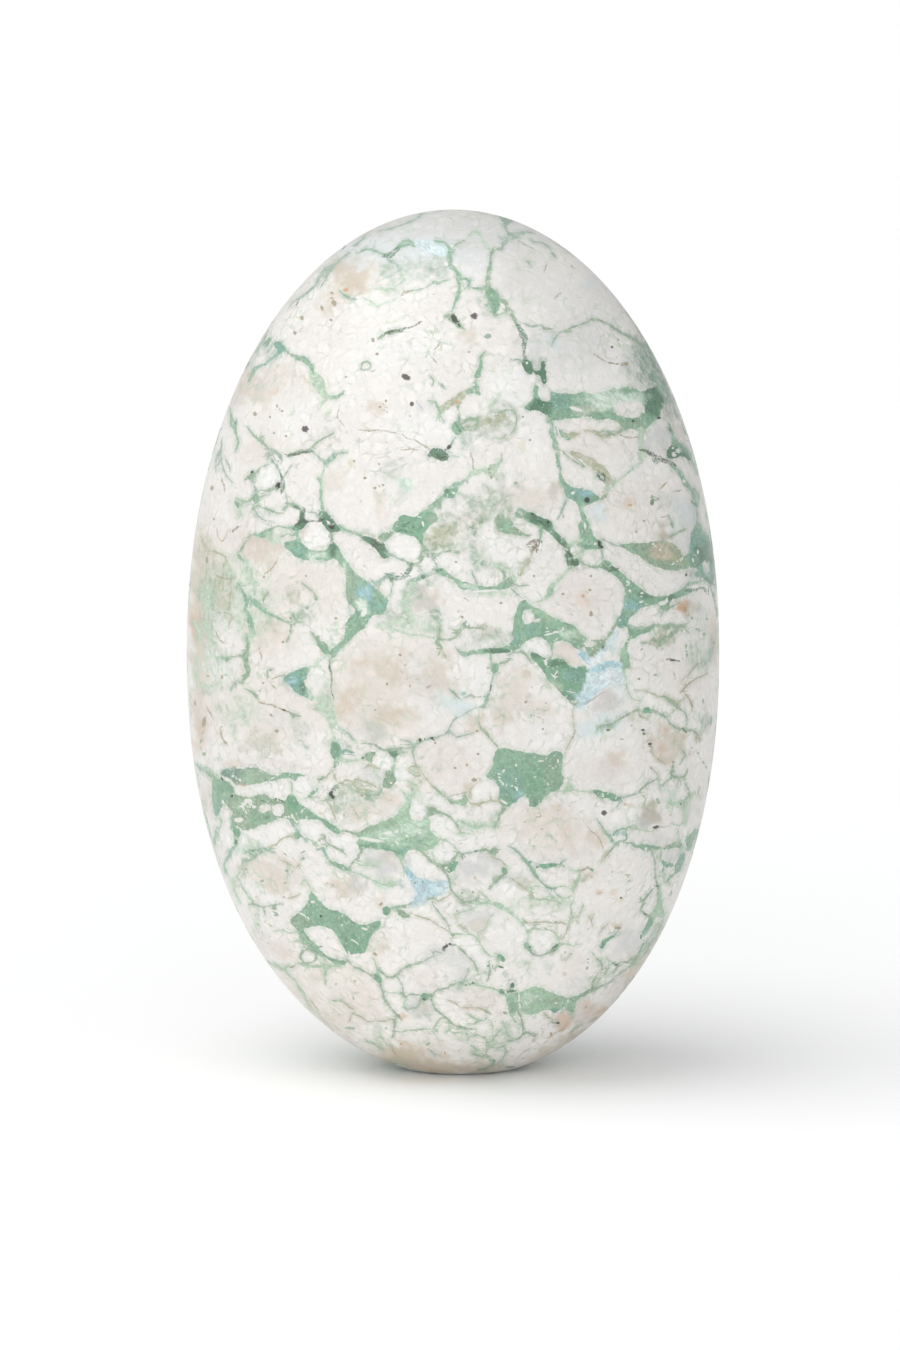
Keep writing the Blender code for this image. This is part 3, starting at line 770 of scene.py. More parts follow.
# %% The upper pool, the teal pool and the blue cross
draw("""
seam moss 520,651,1 525,654,1.5 528,658,1.3 530,661,.8 | 499,664,.8 505,662 511,660,.6 | 603,646,1.2 \
605,641,1.6 609,636,1.5 612,630,1.2 616,625,1 | 571,702,.9 574,706 577,703,.5
seam slate 509,655,.7 514,652 520,652,.8
seam jade 549,640,2 551,645,1.8 552,650,1 552,656,.9 550,660,1.2
seam tanline 586,703,.4 592,700,.5 597,696 602,693,.6 606,692,.4 | 541,690,.4 542,686,.5 545,685,.4
seam umberhaze 573,712,.3 573,722,.4 575,730,.7 574,736,.9 571,739,.7 569,744,.5 566,749 565,752,.6 | \
543,710,.4 545,712,.6 548,710,.4 | 484,728,.7 488,733,.5 494,743 498,748,.6
seam sage 596,732,.3 600,728,.6 606,725,.9 | 531,717,.3 534,712,.4 539,709
pool jade 511,632 514,620 516,612 519,603 521,600 525,599 528,603 533,606 541,609 548,614 555,619 563,622 \
571,625 577,628 581,633 586,638 588,641 583,644 581,650 576,649 570,643 562,640 556,641 552,646 549,642 \
545,640 538,637 530,639 524,643 520,650 513,651 505,653 497,654 489,653 486,651 490,648 500,648 508,645 \
514,641 513,636
pool deepjade 530,652 536,654 542,657 547,658 550,661 553,659 558,658 564,660 568,664 570,667 576,668 \
582,665 586,666 588,672 586,680 582,690 578,698 573,701 570,701 565,697 559,691 552,685 548,680 544,672 \
540,667 535,662 531,657
pool moss 588,640 596,640 603,639 606,642 602,648 596,653 592,659 589,655 587,649 583,646
pool lake 577,652 584,651 589,655 589,661 584,661 580,658
pool ice 616,629 621,629 618,636 612,645 606,652 599,660 594,667 587,665 585,660 592,657 600,650 606,644 \
611,636 | 588,668 595,664 605,661 615,660 622,664 625,670 626,680 620,682 612,683 606,688 600,693 592,700 \
584,708 577,709 575,706 579,698 583,688 587,678
pool lake 591,670 597,665 605,662 613,661 620,663 623,667 614,669 605,670 598,673 592,673
lump 528,617,6.5,7.5 537,620,4,3,20 550,634,5.5,.9,12 556,632,3,1.1 547,628,1.2,.7,-20 563,629,.9,1.6 \
546,660,2.2,.8,25 546,664,1.2,1.6,30 556,673,2.6,.7,60 553,676,3,.6,-45 571,692,5,.5,-10 590,644,6.5,3.8
tint deep 497,651,14,3,0,.8
tint teal 515,638,5,9,15,.7 535,630,12,6,0,.5
tint sage 545,614,12,5,-30,.6
tint mint 566,634,9,4,-25,.6
tint sage 576,636,7,6,-45,.5
tint deep 558,663,8,4,0,.6 536,656,5,3,-20,.7
tint teal 575,676,9,8,0,.85
tint sage 556,686,6,8,40,.7
tint teal 570,695,8,4,-20,.6
tint jade 552,673,6,6,0,.5
tint snow 597,660,6,4,45,.5 612,676,10,7,0,.35
tint sky 585,697,7,12,-25,.6
haze sage 547,683,5,7,40,.5
haze lake 613,648,5,5,0,.4
haze olive 504,719,6,8,0,.25
stain snow 537,646,12,8,0,.5
stain cream 565,652,12,10,0,.6
stain yellow 572,662,8,4,0,.45
stain ice 598,726,24,10,10,.6 618,694,10,18,0,.4
stain grey 609,704,16,11,15,.45
stain rose 608,700,10,8,0,.3
stain umber 530,697,6,3,50,.35
stain tan 526,674,4,3.5,0,.5 515,690,16,24,0,.3
stain rose 499,705,9,22,0,.3
stain tan 500,722,10,14,0,.25
stain snow 548,736,20,12,0,.4
stain rust 541,708,12,6,0,.15
stain snow 585,748,14,8,0,.3
stain tan 610,760,10,10,0,.25
speck deep 603,647,1.5,1.5
speck sage 614,699,.7,1 588,707,.7,1.2
speck moss 575,731,.7,1.2 573,737,1.2,.9,30
speck umber 526,702,1.7,1.2,30 543,729,1,1.2
speck umberhaze 546,703,1.2,.9
speck tan 543,720,1,.8 538,717,1.3,.8
speck slate 531,715,.7,1.5 537,709,.8,.6 532,687,.5,1.6
""")

# %% The right side, below the forked band
draw("""
seam sage 652,626,1.1 660,625,1 668,626,.9 677,626,.7 | 624,671,.9 626,680,.5 627,688 630,696,.6 634,700 \
641,701,.5 | 667,716,.6 671,713 675,710 | 611,728,.6 615,723,.7 616,718,.6 | 700,716,.6 701,724 703,731 | \
658,780,.7 660,786,.8 661,791,.6 | 689,790,.5 693,794,.7 692,798,.6 | 684,806,.9 685,815 684,822,.8 \
679,826,.7 673,824,.6 | 678,829,.6 679,838,.8 676,844 | 661,851,.9 660,857,1.1 | 656,877,.7 661,875 \
664,878 665,883,.6 660,886,.7
seam olive 650,643,.9 655,646,1.1 661,644,1.2 667,638 673,633,1.1 680,628,.9
seam moss 684,628,.8 688,631 | 664,696,.8 669,700,1.2 675,705,1.3 680,709,1 684,712,.9 687,716,.8 \
687,722,.7 685,729 | 636,710,.7 640,710,1 642,712 | 654,711,1.1 659,713,1.2 664,716,1 667,719,.7 \
669,723,.8 672,725,1 677,728,.9 682,730 687,731,1.1 692,730,1.2 696,733,.8 699,735,.6 | 598,728,1 \
606,725,1.2 611,725,1.1 616,721,1.2 622,718,1 627,715,1.2 632,712,.8 638,709,1 | 681,763,.8 684,758,1 \
686,755,.8 682,751,.6 | 707,714,.5 708,722,.6 705,729,.5 | 661,786,.8 665,783,.6 669,779 671,776,.7 \
671,772,1 673,768 673,764,.6 | 671,779,.6 675,776,.8 680,778,.9 685,776,.8 687,771,.6 | 676,777,.8 \
679,781,.9 677,785,.7 | 685,783,.5 688,788,.7 689,793,.8 687,799 684,803,.9 | 658,888,.9 658,895,1 \
659,902,1.3
seam umberhaze 682,691,.7 687,686,.6 691,682 696,679,.5 701,677 706,674,.6 | 690,671,.5 694,667,.6 698,664 \
703,661,.5 | 682,681,.3 686,676,.5 689,675,.4 | 636,690,.4 646,691,.6 653,694 660,697,.7 665,695,.6 | \
678,701,.4 683,700,.5 687,696 | 686,696,.5 690,700,.6 692,706,.9 692,711,.5 | 695,733,.8 699,736 \
697,741,.7 | 639,713,.8 641,717,1.1 646,718,.9 649,721,.6 | 650,746,.4 652,752,.5 655,757 660,761,.6 \
664,763,.4 | 699,788,.6 698,793,.9 700,797,.8
seam palejade 667,802,.8 673,804,1 680,802,1.4 686,799,1.2
seam umber 660,827,.8 664,827,.6 668,826,.3
pool deepjade 616,618 621,616 627,619 628,624 624,628 619,629 616,625
pool jade 628,626 634,630 640,630 646,628 651,625 656,625 653,628 649,631 644,633 638,636 633,639 629,641 \
627,646 627,651 629,657 630,663 631,667 627,669 625,672 623,669 621,663 620,656 621,650 624,646 626,640 \
630,637 629,632
pool olive 664,696 668,697 673,700 678,701 676,704 680,708 676,706 670,702 666,699
pool deepjade 641,710 646,708 650,708 654,711 657,712 652,713 648,714 644,713
pool moss 664,846 670,844 675,842 680,842 683,845 679,848 676,847 672,848 667,850
pool jade 686,838 690,834 694,830 697,828 700,830 698,836 694,842 692,848 690,852 687,850 686,844 | \
680,853 684,852 686,858 683,864 681,869 679,872 675,875 670,879 669,886 667,883 666,879 669,877 674,873 \
676,869 673,867 669,866 666,868 664,872 666,878 663,875 662,870 664,866 661,862 660,858 663,860 667,863 \
671,863 675,865 678,861
lump 658,634,4,3.6 665,811,3,1.8,35 675,811,2.4,3.4,-15
tint teal 621,624,5,4,0,.5
tint palejade 625,654,5,10,0,.75
tint moss 626,668,5,3,0,.5
tint deepjade 632,631,5,3,-20,.5 688,845,3,7,0,.5
tint teal 681,862,4,9,0,.6
haze olive 664,637,16,7,28,.6
haze sage 697,660,10,12,0,.35
haze olive 674,702,7,4,-35,.5
haze umber 698,737,3,5,0,.6
haze moss 606,725,9,4,15,.45
haze olive 633,717,6,5,0,.4
haze slate 646,733,4,4,0,.5
haze olive 677,743,6,13,0,.35
haze slategreen 704,722,7,10,0,.4
haze moss 709,655,3,7,-20,.55
haze slate 706,664,5,5,0,.35
haze moss 680,777,7,5,0,.4
haze palejade 672,791,9,6,0,.4 676,803,13,7,0,.6
haze sage 685,812,5,12,0,.45
haze palejade 683,848,6,6,0,.5
haze slategreen 697,838,4,12,-15,.5
stain umber 650,741,4,2.5,0,.4
stain tan 667,743,18,18,0,.45
stain rust 667,732,4,4,0,.3 662,751,4,7,-10,.35 684,738,3,5,0,.25
stain tan 666,760,8,3,0,.4 714,642,5,20,0,.45
stain grey 670,856,9,8,0,.45 660,840,18,5,0,.3 690,815,8,14,0,.3
stain cream 610,770,24,16,0,.3
stain rust 617,759,7,8,0,.15
stain cream 680,672,22,26,0,.2
stain snow 655,703,14,6,-25,.3
speck islet 620,620,1,.7
speck sage 685,625,1.6,1
speck moss 687,646,.9,1.8 687,655,1.2,1.2 704,634,.8,1.8,-30 673,771,2.4,1.2 671,893,.7,3,-12
speck umberhaze 698,629,1.3,.8 656,675,1,.9 639,679,1,.7 641,650,.9,.7 645,642,1.4,.6
speck slate 667,660,1.4,.7 679,661,.9,.8 622,739,1.8,.9 651,752,1.4,.8,-40 698,753,1.4,.9,-30 \
703,762,1.2,1.3 706,767,1,1.6 657,799,1.5,1 659,803,1.5,.9
speck coal 673,660,1.9,.9 643,730,1.7,1.3 650,744,2.1,1.3
speck deep 683,729,1.9,1,-40 686,732,.9,1.5 644,734,1.4,1 681,804,1.2,1 657,886,2,1.1
speck umberdark 608,730,1.9,1.1
speck umber 673,762,1.5,1 714,643,1,2
speck tan 692,748,1.2,1 689,754,1.2,.9 670,815,.8,1.3,-30
speck jade 711,721,1.1,4.5,-5
""")

# %% The pale green pool and the blue below it
draw("""
seam sage 427,806,.7 428,811,.8 425,817 | 436,790,.6 441,796 446,801,.8 | 440,839,.8 446,840 450,843,1 \
454,847 457,850,1.1 | 434,846,.7 432,853,.8 434,860,1 438,864,1.2 | 401,862,.8 404,868,.9 404,875,.7 | \
357,863,.7 363,866,.6 370,866,.5 376,866,.4 | 481,892,.7 485,896,.8 489,900,.9 494,903,1.1 | 394,770,.9 \
395,765,.6 394,759,.5 | 407,781,.8 411,783 415,786 421,782,.6
seam moss 439,812,1.2 445,814,.9 450,817 455,822,.8 458,827,.7 460,831,.6 | 435,788,1.1 440,793,.9 \
446,798,1.1 450,801,1.8 | 457,850,1.1 460,853,1.5 462,857,1.1 | 438,864,1.2 443,865,1 448,864,1.1 \
452,861,1.2 455,857,1.3 458,853,1.4 | 419,850,1.1 424,854,1 430,860,1.2 435,863,1.6 439,866,1.4 443,870,.9 \
447,874 449,879 450,885,.8 451,891 | 478,851,.8 482,850,1.1 487,850,1.3 | 428,899,.9 432,898,1.2 \
435,899,1.1 438,901,.7 | 452,891,.7 458,897,.9 464,902,1.2 471,902,.9 478,898,.6 | 383,786,.9 381,791,1 \
378,795,.9 372,794,1 367,796,.8
seam umberhaze 408,769,.8 412,766 417,767,1 421,772,.9 427,779,.7 431,785,.8 435,788,1.1 | 446,797,.4 \
453,795 460,794,.6 466,792 | 468,797,.6 469,803,.8 474,804,.9 479,805,1.1 482,802,.8 488,802,.6 494,801 \
500,801,.8 | 490,795,.4 491,800,.5 | 471,796,.3 470,790,.4 474,785,.3 480,781 | 440,900,.7 444,898,.8 \
449,895,.6 | 366,767,1.1 371,765,.9 376,768,1.2 | 352,782,.8 357,779,1 362,781,.7 368,783,.8 373,785,.9 \
377,788,.7 | 353,784,.7 357,788,.8 363,790 369,790,.7 | 352,806,.5 355,812,.7 358,817,.5 | 410,772,.7 \
415,776,.8 420,776,.7 423,774,.5
seam palejade 460,821,.9 466,824,1.2 472,827,1.4 478,828,1.2 484,825,1 490,826,1.1 496,825,.9 | 460,833,.8 \
466,833,.9 472,834,.6 | 350,871,1 356,873,.9 362,875,.8 370,879 377,882,.9 384,885 391,886,.7 | 402,791,.7 \
406,797,.9 410,801,1 | 412,789,.7 411,797,.8
seam slate 462,854,.7 468,853,.8 474,852,.7 478,851,.9
seam jade 391,908,1.2 397,907,1.3 403,907,1.5 409,904,1.1
pool palejade 354,833 360,832 365,829 369,825 375,825 381,822 387,820 393,817 397,814 400,810 403,807 \
405,803 411,802 411,806 408,811 409,816 412,820 417,821 423,820 428,817 430,821 429,827 432,832 437,836 \
441,840 438,843 434,846 431,850 425,851 420,851 414,850 408,850 405,854 403,862 399,859 395,853 389,850 \
380,850 372,849 366,848 361,851 358,846 357,840 360,838 356,837
pool moss 427,808 433,807 437,810 440,813 436,814 431,816 427,817 428,812 | 447,800 452,801 458,800 \
462,797 466,793 468,797 468,803 465,806 460,805 455,804 450,804
pool deepjade 438,865 442,865 447,865 451,863 455,860 459,861 457,866 454,870 450,873 447,872 443,869
pool sky 405,865 409,869 414,874 420,878 427,880 434,882 440,880 446,880 450,884 448,890 445,894 440,896 \
434,897 428,898 422,900 418,904 413,906 408,905 414,900 417,896 418,892 414,888 411,884 408,879 405,874 \
403,869
pool mint 372,882 378,883 384,888 388,891 382,889 376,886
pool deepjade 383,907 388,906 391,910 389,914 385,916 383,912
pool moss 386,771 390,769 394,770 394,776 397,780 393,784 392,788 386,788 382,787 383,781 385,776
lump 372,840,12,1.8,-10 397,843,2.6,.9,-35 388,833,4.5,1.6,5 457,798,5,1.5,-8 446,868,1.7,1.2,20
tint moss 365,831,8,4,25,.7 385,824,14,4,20,.5
tint deepjade 366,846,10,3.5,-10,.8 391,851,12,4,-25,.9
tint teal 403,853,5,7,0,.7
tint mint 416,828,14,8,0,.5 388,834,14,5,0,.4
tint jade 420,841,12,7,0,.4
tint palejade 461,802,7,3,-10,.6
tint deepjade 449,801,3,2.5,0,.8
tint blue 409,872,4,6,-30,.55
tint ice 443,889,7,7,0,.6
haze palejade 475,825,18,4,-5,.65
haze mint 460,833,9,3,0,.45
haze sky 416,899,8,7,20,.55
haze aqua 402,885,6,4,0,.5
haze blue 409,862,3,5,0,.4
haze sage 371,866,9,7,0,.4 385,881,14,5,-10,.5
haze moss 465,898,10,7,0,.5
haze sage 456,881,4,8,0,.35
haze jade 371,796,10,6,15,.55
haze moss 353,797,12,12,0,.45
haze sage 348,789,10,9,0,.45
haze umberhaze 362,793,7,5,0,.5
haze palejade 414,772,5,4,0,.5
haze umberhaze 414,785,8,6,0,.5
haze palejade 416,795,9,7,0,.45
stain tan 468,786,5,4,0,.6 480,779,2.5,1.5,0,.5
stain grey 383,861,19,13,-10,.6
stain tan 388,858,12,7,-20,.3 380,900,5,8,0,.3
stain grey 478,868,21,13,10,.5 372,775,14,9,0,.4
stain cream 392,800,13,12,0,.5
stain tan 385,796,8,5,0,.3 365,812,20,9,0,.35
stain snow 434,800,11,9,0,.5 418,811,8,8,0,.5 443,827,11,11,0,.5 402,774,7,11,0,.5 443,853,9,9,0,.4 \
425,865,10,12,-35,.4 485,790,12,10,0,.3 470,842,22,6,0,.4
speck islet 407,836,1.8,1,-35 405,825,2.2,.5,-30 420,833,2,.8 398,831,.7,1.8 382,842,1.4,.6,-20 \
453,872,1.8,.5,25 391,783,1.4,1
speck teal 420,841,1.8,1.3 415,883,1.2,1.3 423,882,.9,1.5
speck umber 474,780,2.8,2 381,904,2,1.4,30 362,795,1.4,1
speck rust 475,779,1.3,1 467,766,1.2,.7,-30
speck deep 476,851,1.7,1
speck moss 462,893,1.5,1.2 473,892,1.7,.9,-45
speck tan 475,878,1.3,1.8 391,800,1.3,1
speck umberhaze 344,815,1.2,1.8
""")

# %% The green of the lower left side
draw("""
seam jade 196,764,.8 201,769,1.3 206,772,1.5 213,777,1.6 | 217,827,.8 215,836,1.3 214,845,1.1 | 231,818,.8 \
233,822,.9 232,827,1.1 | 236,837,1.6 236,843,1.9 234,847,1.4 231,851,1.5 229,856,1.4 226,860,1.5 \
224,865,1.2 226,874,1 | 246,853,1 252,850,1.3 258,850,1.1 263,848,1.2 268,850,1.3 274,852,.7 | 291,822,.9 \
295,827,1 298,832,1.1 | 319,849,1.1 323,848,1.8 325,853,1.4 328,858 331,862,1.3
seam sage 207,767,.7 213,772,.8 220,777 | 291,781,.7 292,787,1 292,794,1.2 | 219,818,.9 222,821,.8 220,827 \
218,833,.9 219,839,.7 | 243,860,.9 241,868,1.1 238,875 235,882 234,892,1 | 288,865,.4 288,874,.6 \
287,882,.4 | 302,883,.6 305,879 309,885,.5 311,890,.7 | 308,839,.6 313,842,.8 318,845 | 239,879,.7 \
243,889,.9 249,897 254,903
seam moss 341,831,1.2 347,831,.8 354,834,1.4 | 323,801,.9 328,800,1.1 331,797,1 | 242,864,1 245,861,1.3 \
250,860,1.4 254,857,1.3 258,854,.9 264,852,.6 | 316,844,.8 320,840,1.2 323,837,1.7 325,840,1.3 328,844,1 \
333,846,.8 338,849,1.2 342,851,1.3 346,855,.5 | 350,867,1 354,861,1.2 358,858,1.3 361,852,1.4
seam umberhaze 326,777,.8 330,772 334,768,.7 | 334,775,.6 336,781,.8 340,784,.9 346,780,.8 352,781,.7 | \
328,802,.7 331,807,.8 333,813 336,820,.6 | 265,847,.6 272,846,.8 277,844 279,841,.7 284,838,.8 289,836,.7 \
293,836 | 280,860,.4 286,862,.6 292,865 297,868,.5 | 292,873,.5 296,868,.6 299,865,.5 | 289,898,.5 \
294,897,.7 299,895,.5
seam slate 299,835,1.1 303,837,1.3 305,839,1.4 306,841,.8
seam umber 329,838,.4 330,841
seam palejade 231,878,.6 234,890,.9 240,902,.8
pool slategreen 221,770 228,769 235,768 242,769 250,767 257,768 262,771 268,773 274,775 279,776 278,780 \
271,781 264,782 256,784 248,786 240,786 234,784 232,780 227,777 221,776
pool jade 277,778 280,774 286,773 293,773 300,774 307,776 302,776 297,778 296,781 293,779 287,777 281,779 \
| 213,776 218,779 222,779 228,781 233,785 234,791 233,796 229,800 225,803 222,808 219,813 218,818 215,816 \
213,809 212,800 212,790 212,782
pool moss 230,799 233,793 238,796 244,797 250,797 255,795 261,795 265,793 269,797 274,799 278,801 282,801 \
286,799 286,796 290,794 294,795 297,799 300,806 299,812 303,814 299,819 298,825 294,824 290,820 284,818 \
277,819 271,821 266,825 260,825 256,828 250,829 245,831 240,828 234,825 231,820 233,813 230,808 226,806 \
227,802
pool jade 300,806 304,807 308,808 312,811 317,815 322,817 327,820 332,824 337,827 341,830 340,835 336,834 \
331,831 327,828 323,824 318,820 312,819 306,819 301,820 299,814 | 306,797 309,793 313,791 316,787 319,783 \
318,788 317,793 313,796 311,799 307,800
pool moss 317,779 322,776 326,777 323,781 318,782
pool deepjade 232,827 235,826 239,829 243,831 240,834 239,838 235,837 233,832
pool jade 293,836 296,830 299,833 304,836 300,838 298,841 295,839
pool moss 299,859 302,857 305,856 305,860 301,861
pool jade 330,862 335,861 341,864 345,866 349,868 350,871 345,871 341,869 336,867 331,865
lump 265,808,6.3,4.3,15 278,810,6.2,6.6 248,801,4,2.2 254,807,2.2,1.5,20 239,820,4.6,2.4 242,806,3,1.2,15 \
308,806,2.6,.9,15 319,843,2.2,1.3,-20
tint sage 255,777,18,7,0,.55
tint moss 270,777,10,4,0,.5
tint tan 245,786,8,2.5,0,.7
tint deepjade 226,773,5,4,0,.35 224,786,6,8,0,.6
tint teal 216,806,3,8,0,.45
tint sage 227,794,5,4,0,.4
tint deepjade 292,805,8,12,0,.8 282,801,4,2,-20,.8
tint jade 260,819,18,6,10,.5
tint sage 239,807,8,7,0,.5 245,822,8,4,0,.4
tint deepjade 332,827,6,4,-35,.6
haze jade 204,771,7,5,-30,.5
haze slate 331,796,6,6,0,.7
haze moss 336,805,7,9,0,.45
haze olive 343,790,6,7,0,.3
haze palejade 229,851,5,6,0,.5 250,850,14,6,5,.65
haze moss 245,868,4,8,-10,.6
haze sage 259,886,5,5,0,.5
stain tan 264,868,20,13,0,.35 277,886,16,10,0,.4
stain rose 290,875,14,18,0,.3
stain snow 262,897,14,7,-20,.4
stain tan 345,886,18,10,0,.5
stain grey 356,884,10,8,0,.4
stain cream 215,795,4,20,0,.3
stain snow 270,788,16,7,0,.5 265,835,22,9,0,.5 312,830,16,8,0,.4 345,848,12,14,0,.5 225,834,6,12,0,.3 \
305,784,10,9,0,.5
stain rose 205,800,6,18,0,.35 285,765,30,4,-8,.3
stain tan 235,764,14,3,0,.35
speck islet 233,776,1.4,1.3 240,780,1,1.6,30 273,778,2.4,.6,30 223,802,1.2,2.4,10 292,816,1.1,2 \
286,817,1.6,.9 297,822,1,1.4 246,812,.8,2,30 302,811,.7,2.6,-30
speck deep 266,780,1.4,1.1 282,801,2.4,1,-30 276,799,1.5,1 263,801,2.2,.8,-20 267,818,1,1.4 \
236,842,1.3,2.4 253,851,1.2,.9
speck coal 222,779,1,2,20 232,796,1.1,1.7,-15 331,794,2,3.2,-15 333,797,1.8,1.6
speck moss 336,787,3.4,2.4,15 303,852,2.6,.9,30 262,881,2.2,1.2,20 285,883,1.4,1,40
speck umberhaze 246,869,1.3,1.6 333,885,1.1,1
speck umber 285,854,2.2,.6,-35 234,767,1.8,.7
speck jade 287,871,1.9,1.3
speck tan 284,897,1.6,1.2 256,897,1,1 327,883,1.3,.9
""")

# %% The foot of the right side
draw("""
seam moss 592,988,1 592,984,.8 594,979,.9 598,974 602,971,.8 606,968,.6 | 592,991,1.3 597,988,1 602,986,.9 \
608,983,.8 612,981 616,976 621,973,1 625,970,.8 630,966 634,961,1.1 638,955,1.2 641,949 645,942,.9 | \
600,960,.7 602,966,.8 601,972,.7 | 612,963,.7 617,964,1.2 621,962,.8 627,962 632,959,.9 | 618,966,.7 \
615,970,.6 613,973,.4 | 641,899,1 643,905,.9 641,910,.8 645,914,1.3 650,917,.8 | 663,920,.5 659,930,.7 \
655,938,.8 650,946,.9 645,954,.7 | 571,1032,.5 576,1028,.9 582,1024,.7
seam sage 595,987,.7 598,981,.9 602,976,.7 606,973,.8 609,968,1 609,962,.8 607,958,.5 | 592,953,.5 \
596,958,.8 600,961 | 630,966,1 636,962,1.2 641,958,1.1 | 657,924,.8 653,932,.9 649,940 645,948,.8 \
641,956,.7 | 568,927,.7 570,921 573,916,.6 | 574,899,.7 570,906,.8 572,912,.7 569,918,.6 | 577,921,.6 \
580,913 583,906 | 551,930,.6 556,933,.7 559,938,.6 | 557,948,.8 561,944 567,944,.6 573,946,.5 579,944
seam palejade 646,941,1.2 643,949,1.8 639,956,1.5
seam slate 615,934,.5 618,931 | 551,1022,.6 556,1023,.8
seam umberhaze 600,933,.4 603,928,.6 607,925,.5 | 588,916,.6 590,920,.7 592,924 | 593,916,.5 591,920 | \
560,922,.8 565,924 568,927,.9 566,933 563,938,.7 | 545,1014,.7 549,1018 552,1019,.6
seam rust 567,1023,.5 563,1029,.7 557,1032 552,1034,.8 549,1038,.5
seam umber 587,1024,.4 592,1020,.7 597,1017,.5
pool jade 549,991 556,994 563,997 571,997 578,995 584,992 588,989 594,989 593,992 587,995 580,998 576,1003 \
575,1010 571,1013 567,1010 563,1008 558,1012 553,1013 549,1009
pool palejade 657,897 662,899 663,908 666,916 662,918 657,916 654,920 652,927 648,932 644,937 641,935 \
642,930 646,925 648,919 650,914 654,909 657,904
pool deepjade 600,949 600,944 603,941 607,938 611,936 615,934 619,932 617,935 612,938 608,941 605,945 \
603,949
tint palejade 570,1004,8,8,0,.5
tint teal 555,1010,5,3,0,.6
tint moss 586,992,7,4,30,.6
tint deepjade 647,926,4,9,-35,.6
haze sage 600,962,5,8,0,.35
haze palejade 635,961,6,4,30,.6
haze olive 658,932,5,14,-28,.5
haze moss 650,947,5,8,-30,.5
haze umberhaze 566,957,6,4,15,.5
haze moss 572,1017,4,4,0,.5
haze tan 578,1023,4,4,0,.4
stain tan 617,926,5,4,0,.6
stain rust 564,974,2.4,1.4,0,.5
stain rose 580,1012,24,12,15,.45
stain rust 563,1022,7,7,0,.45 588,1008,7,5,30,.25
stain tan 600,1015,14,6,35,.55
stain rust 601,1010,7,3,25,.35
stain umber 578,1036,14,3.5,20,.4
stain tan 560,1046,34,6,28,.45
stain rust 629,972,3,5,-20,.4
stain tan 640,966,10,16,-35,.5
stain rose 622,988,9,18,-35,.35
stain umber 628,985,3,12,-30,.3
stain grey 625,945,14,14,0,.3 632,935,10,12,0,.25
stain cream 575,965,16,14,0,.25
stain snow 585,935,14,14,0,.3
stain grey 575,985,14,7,10,.3
speck islet 568,1001,.9,1.8 556,1003,1.6,1 564,1008,1.4,1
speck deep 616,965,1.8,1.2 645,914,1.6,1.1 641,937,.9,2.4
speck umber 618,928,3.4,1.4 551,1034,.9,2,10
speck umberdark 620,928,1.5,1
speck tan 588,929,.8,1.2
speck umberhaze 571,954,1.4,1 586,1007,2,.8,45
speck slate 587,968,1.1,2,-20
speck sage 588,959,1.4,1
speck coal 558,1023,1.6,1.1
""")

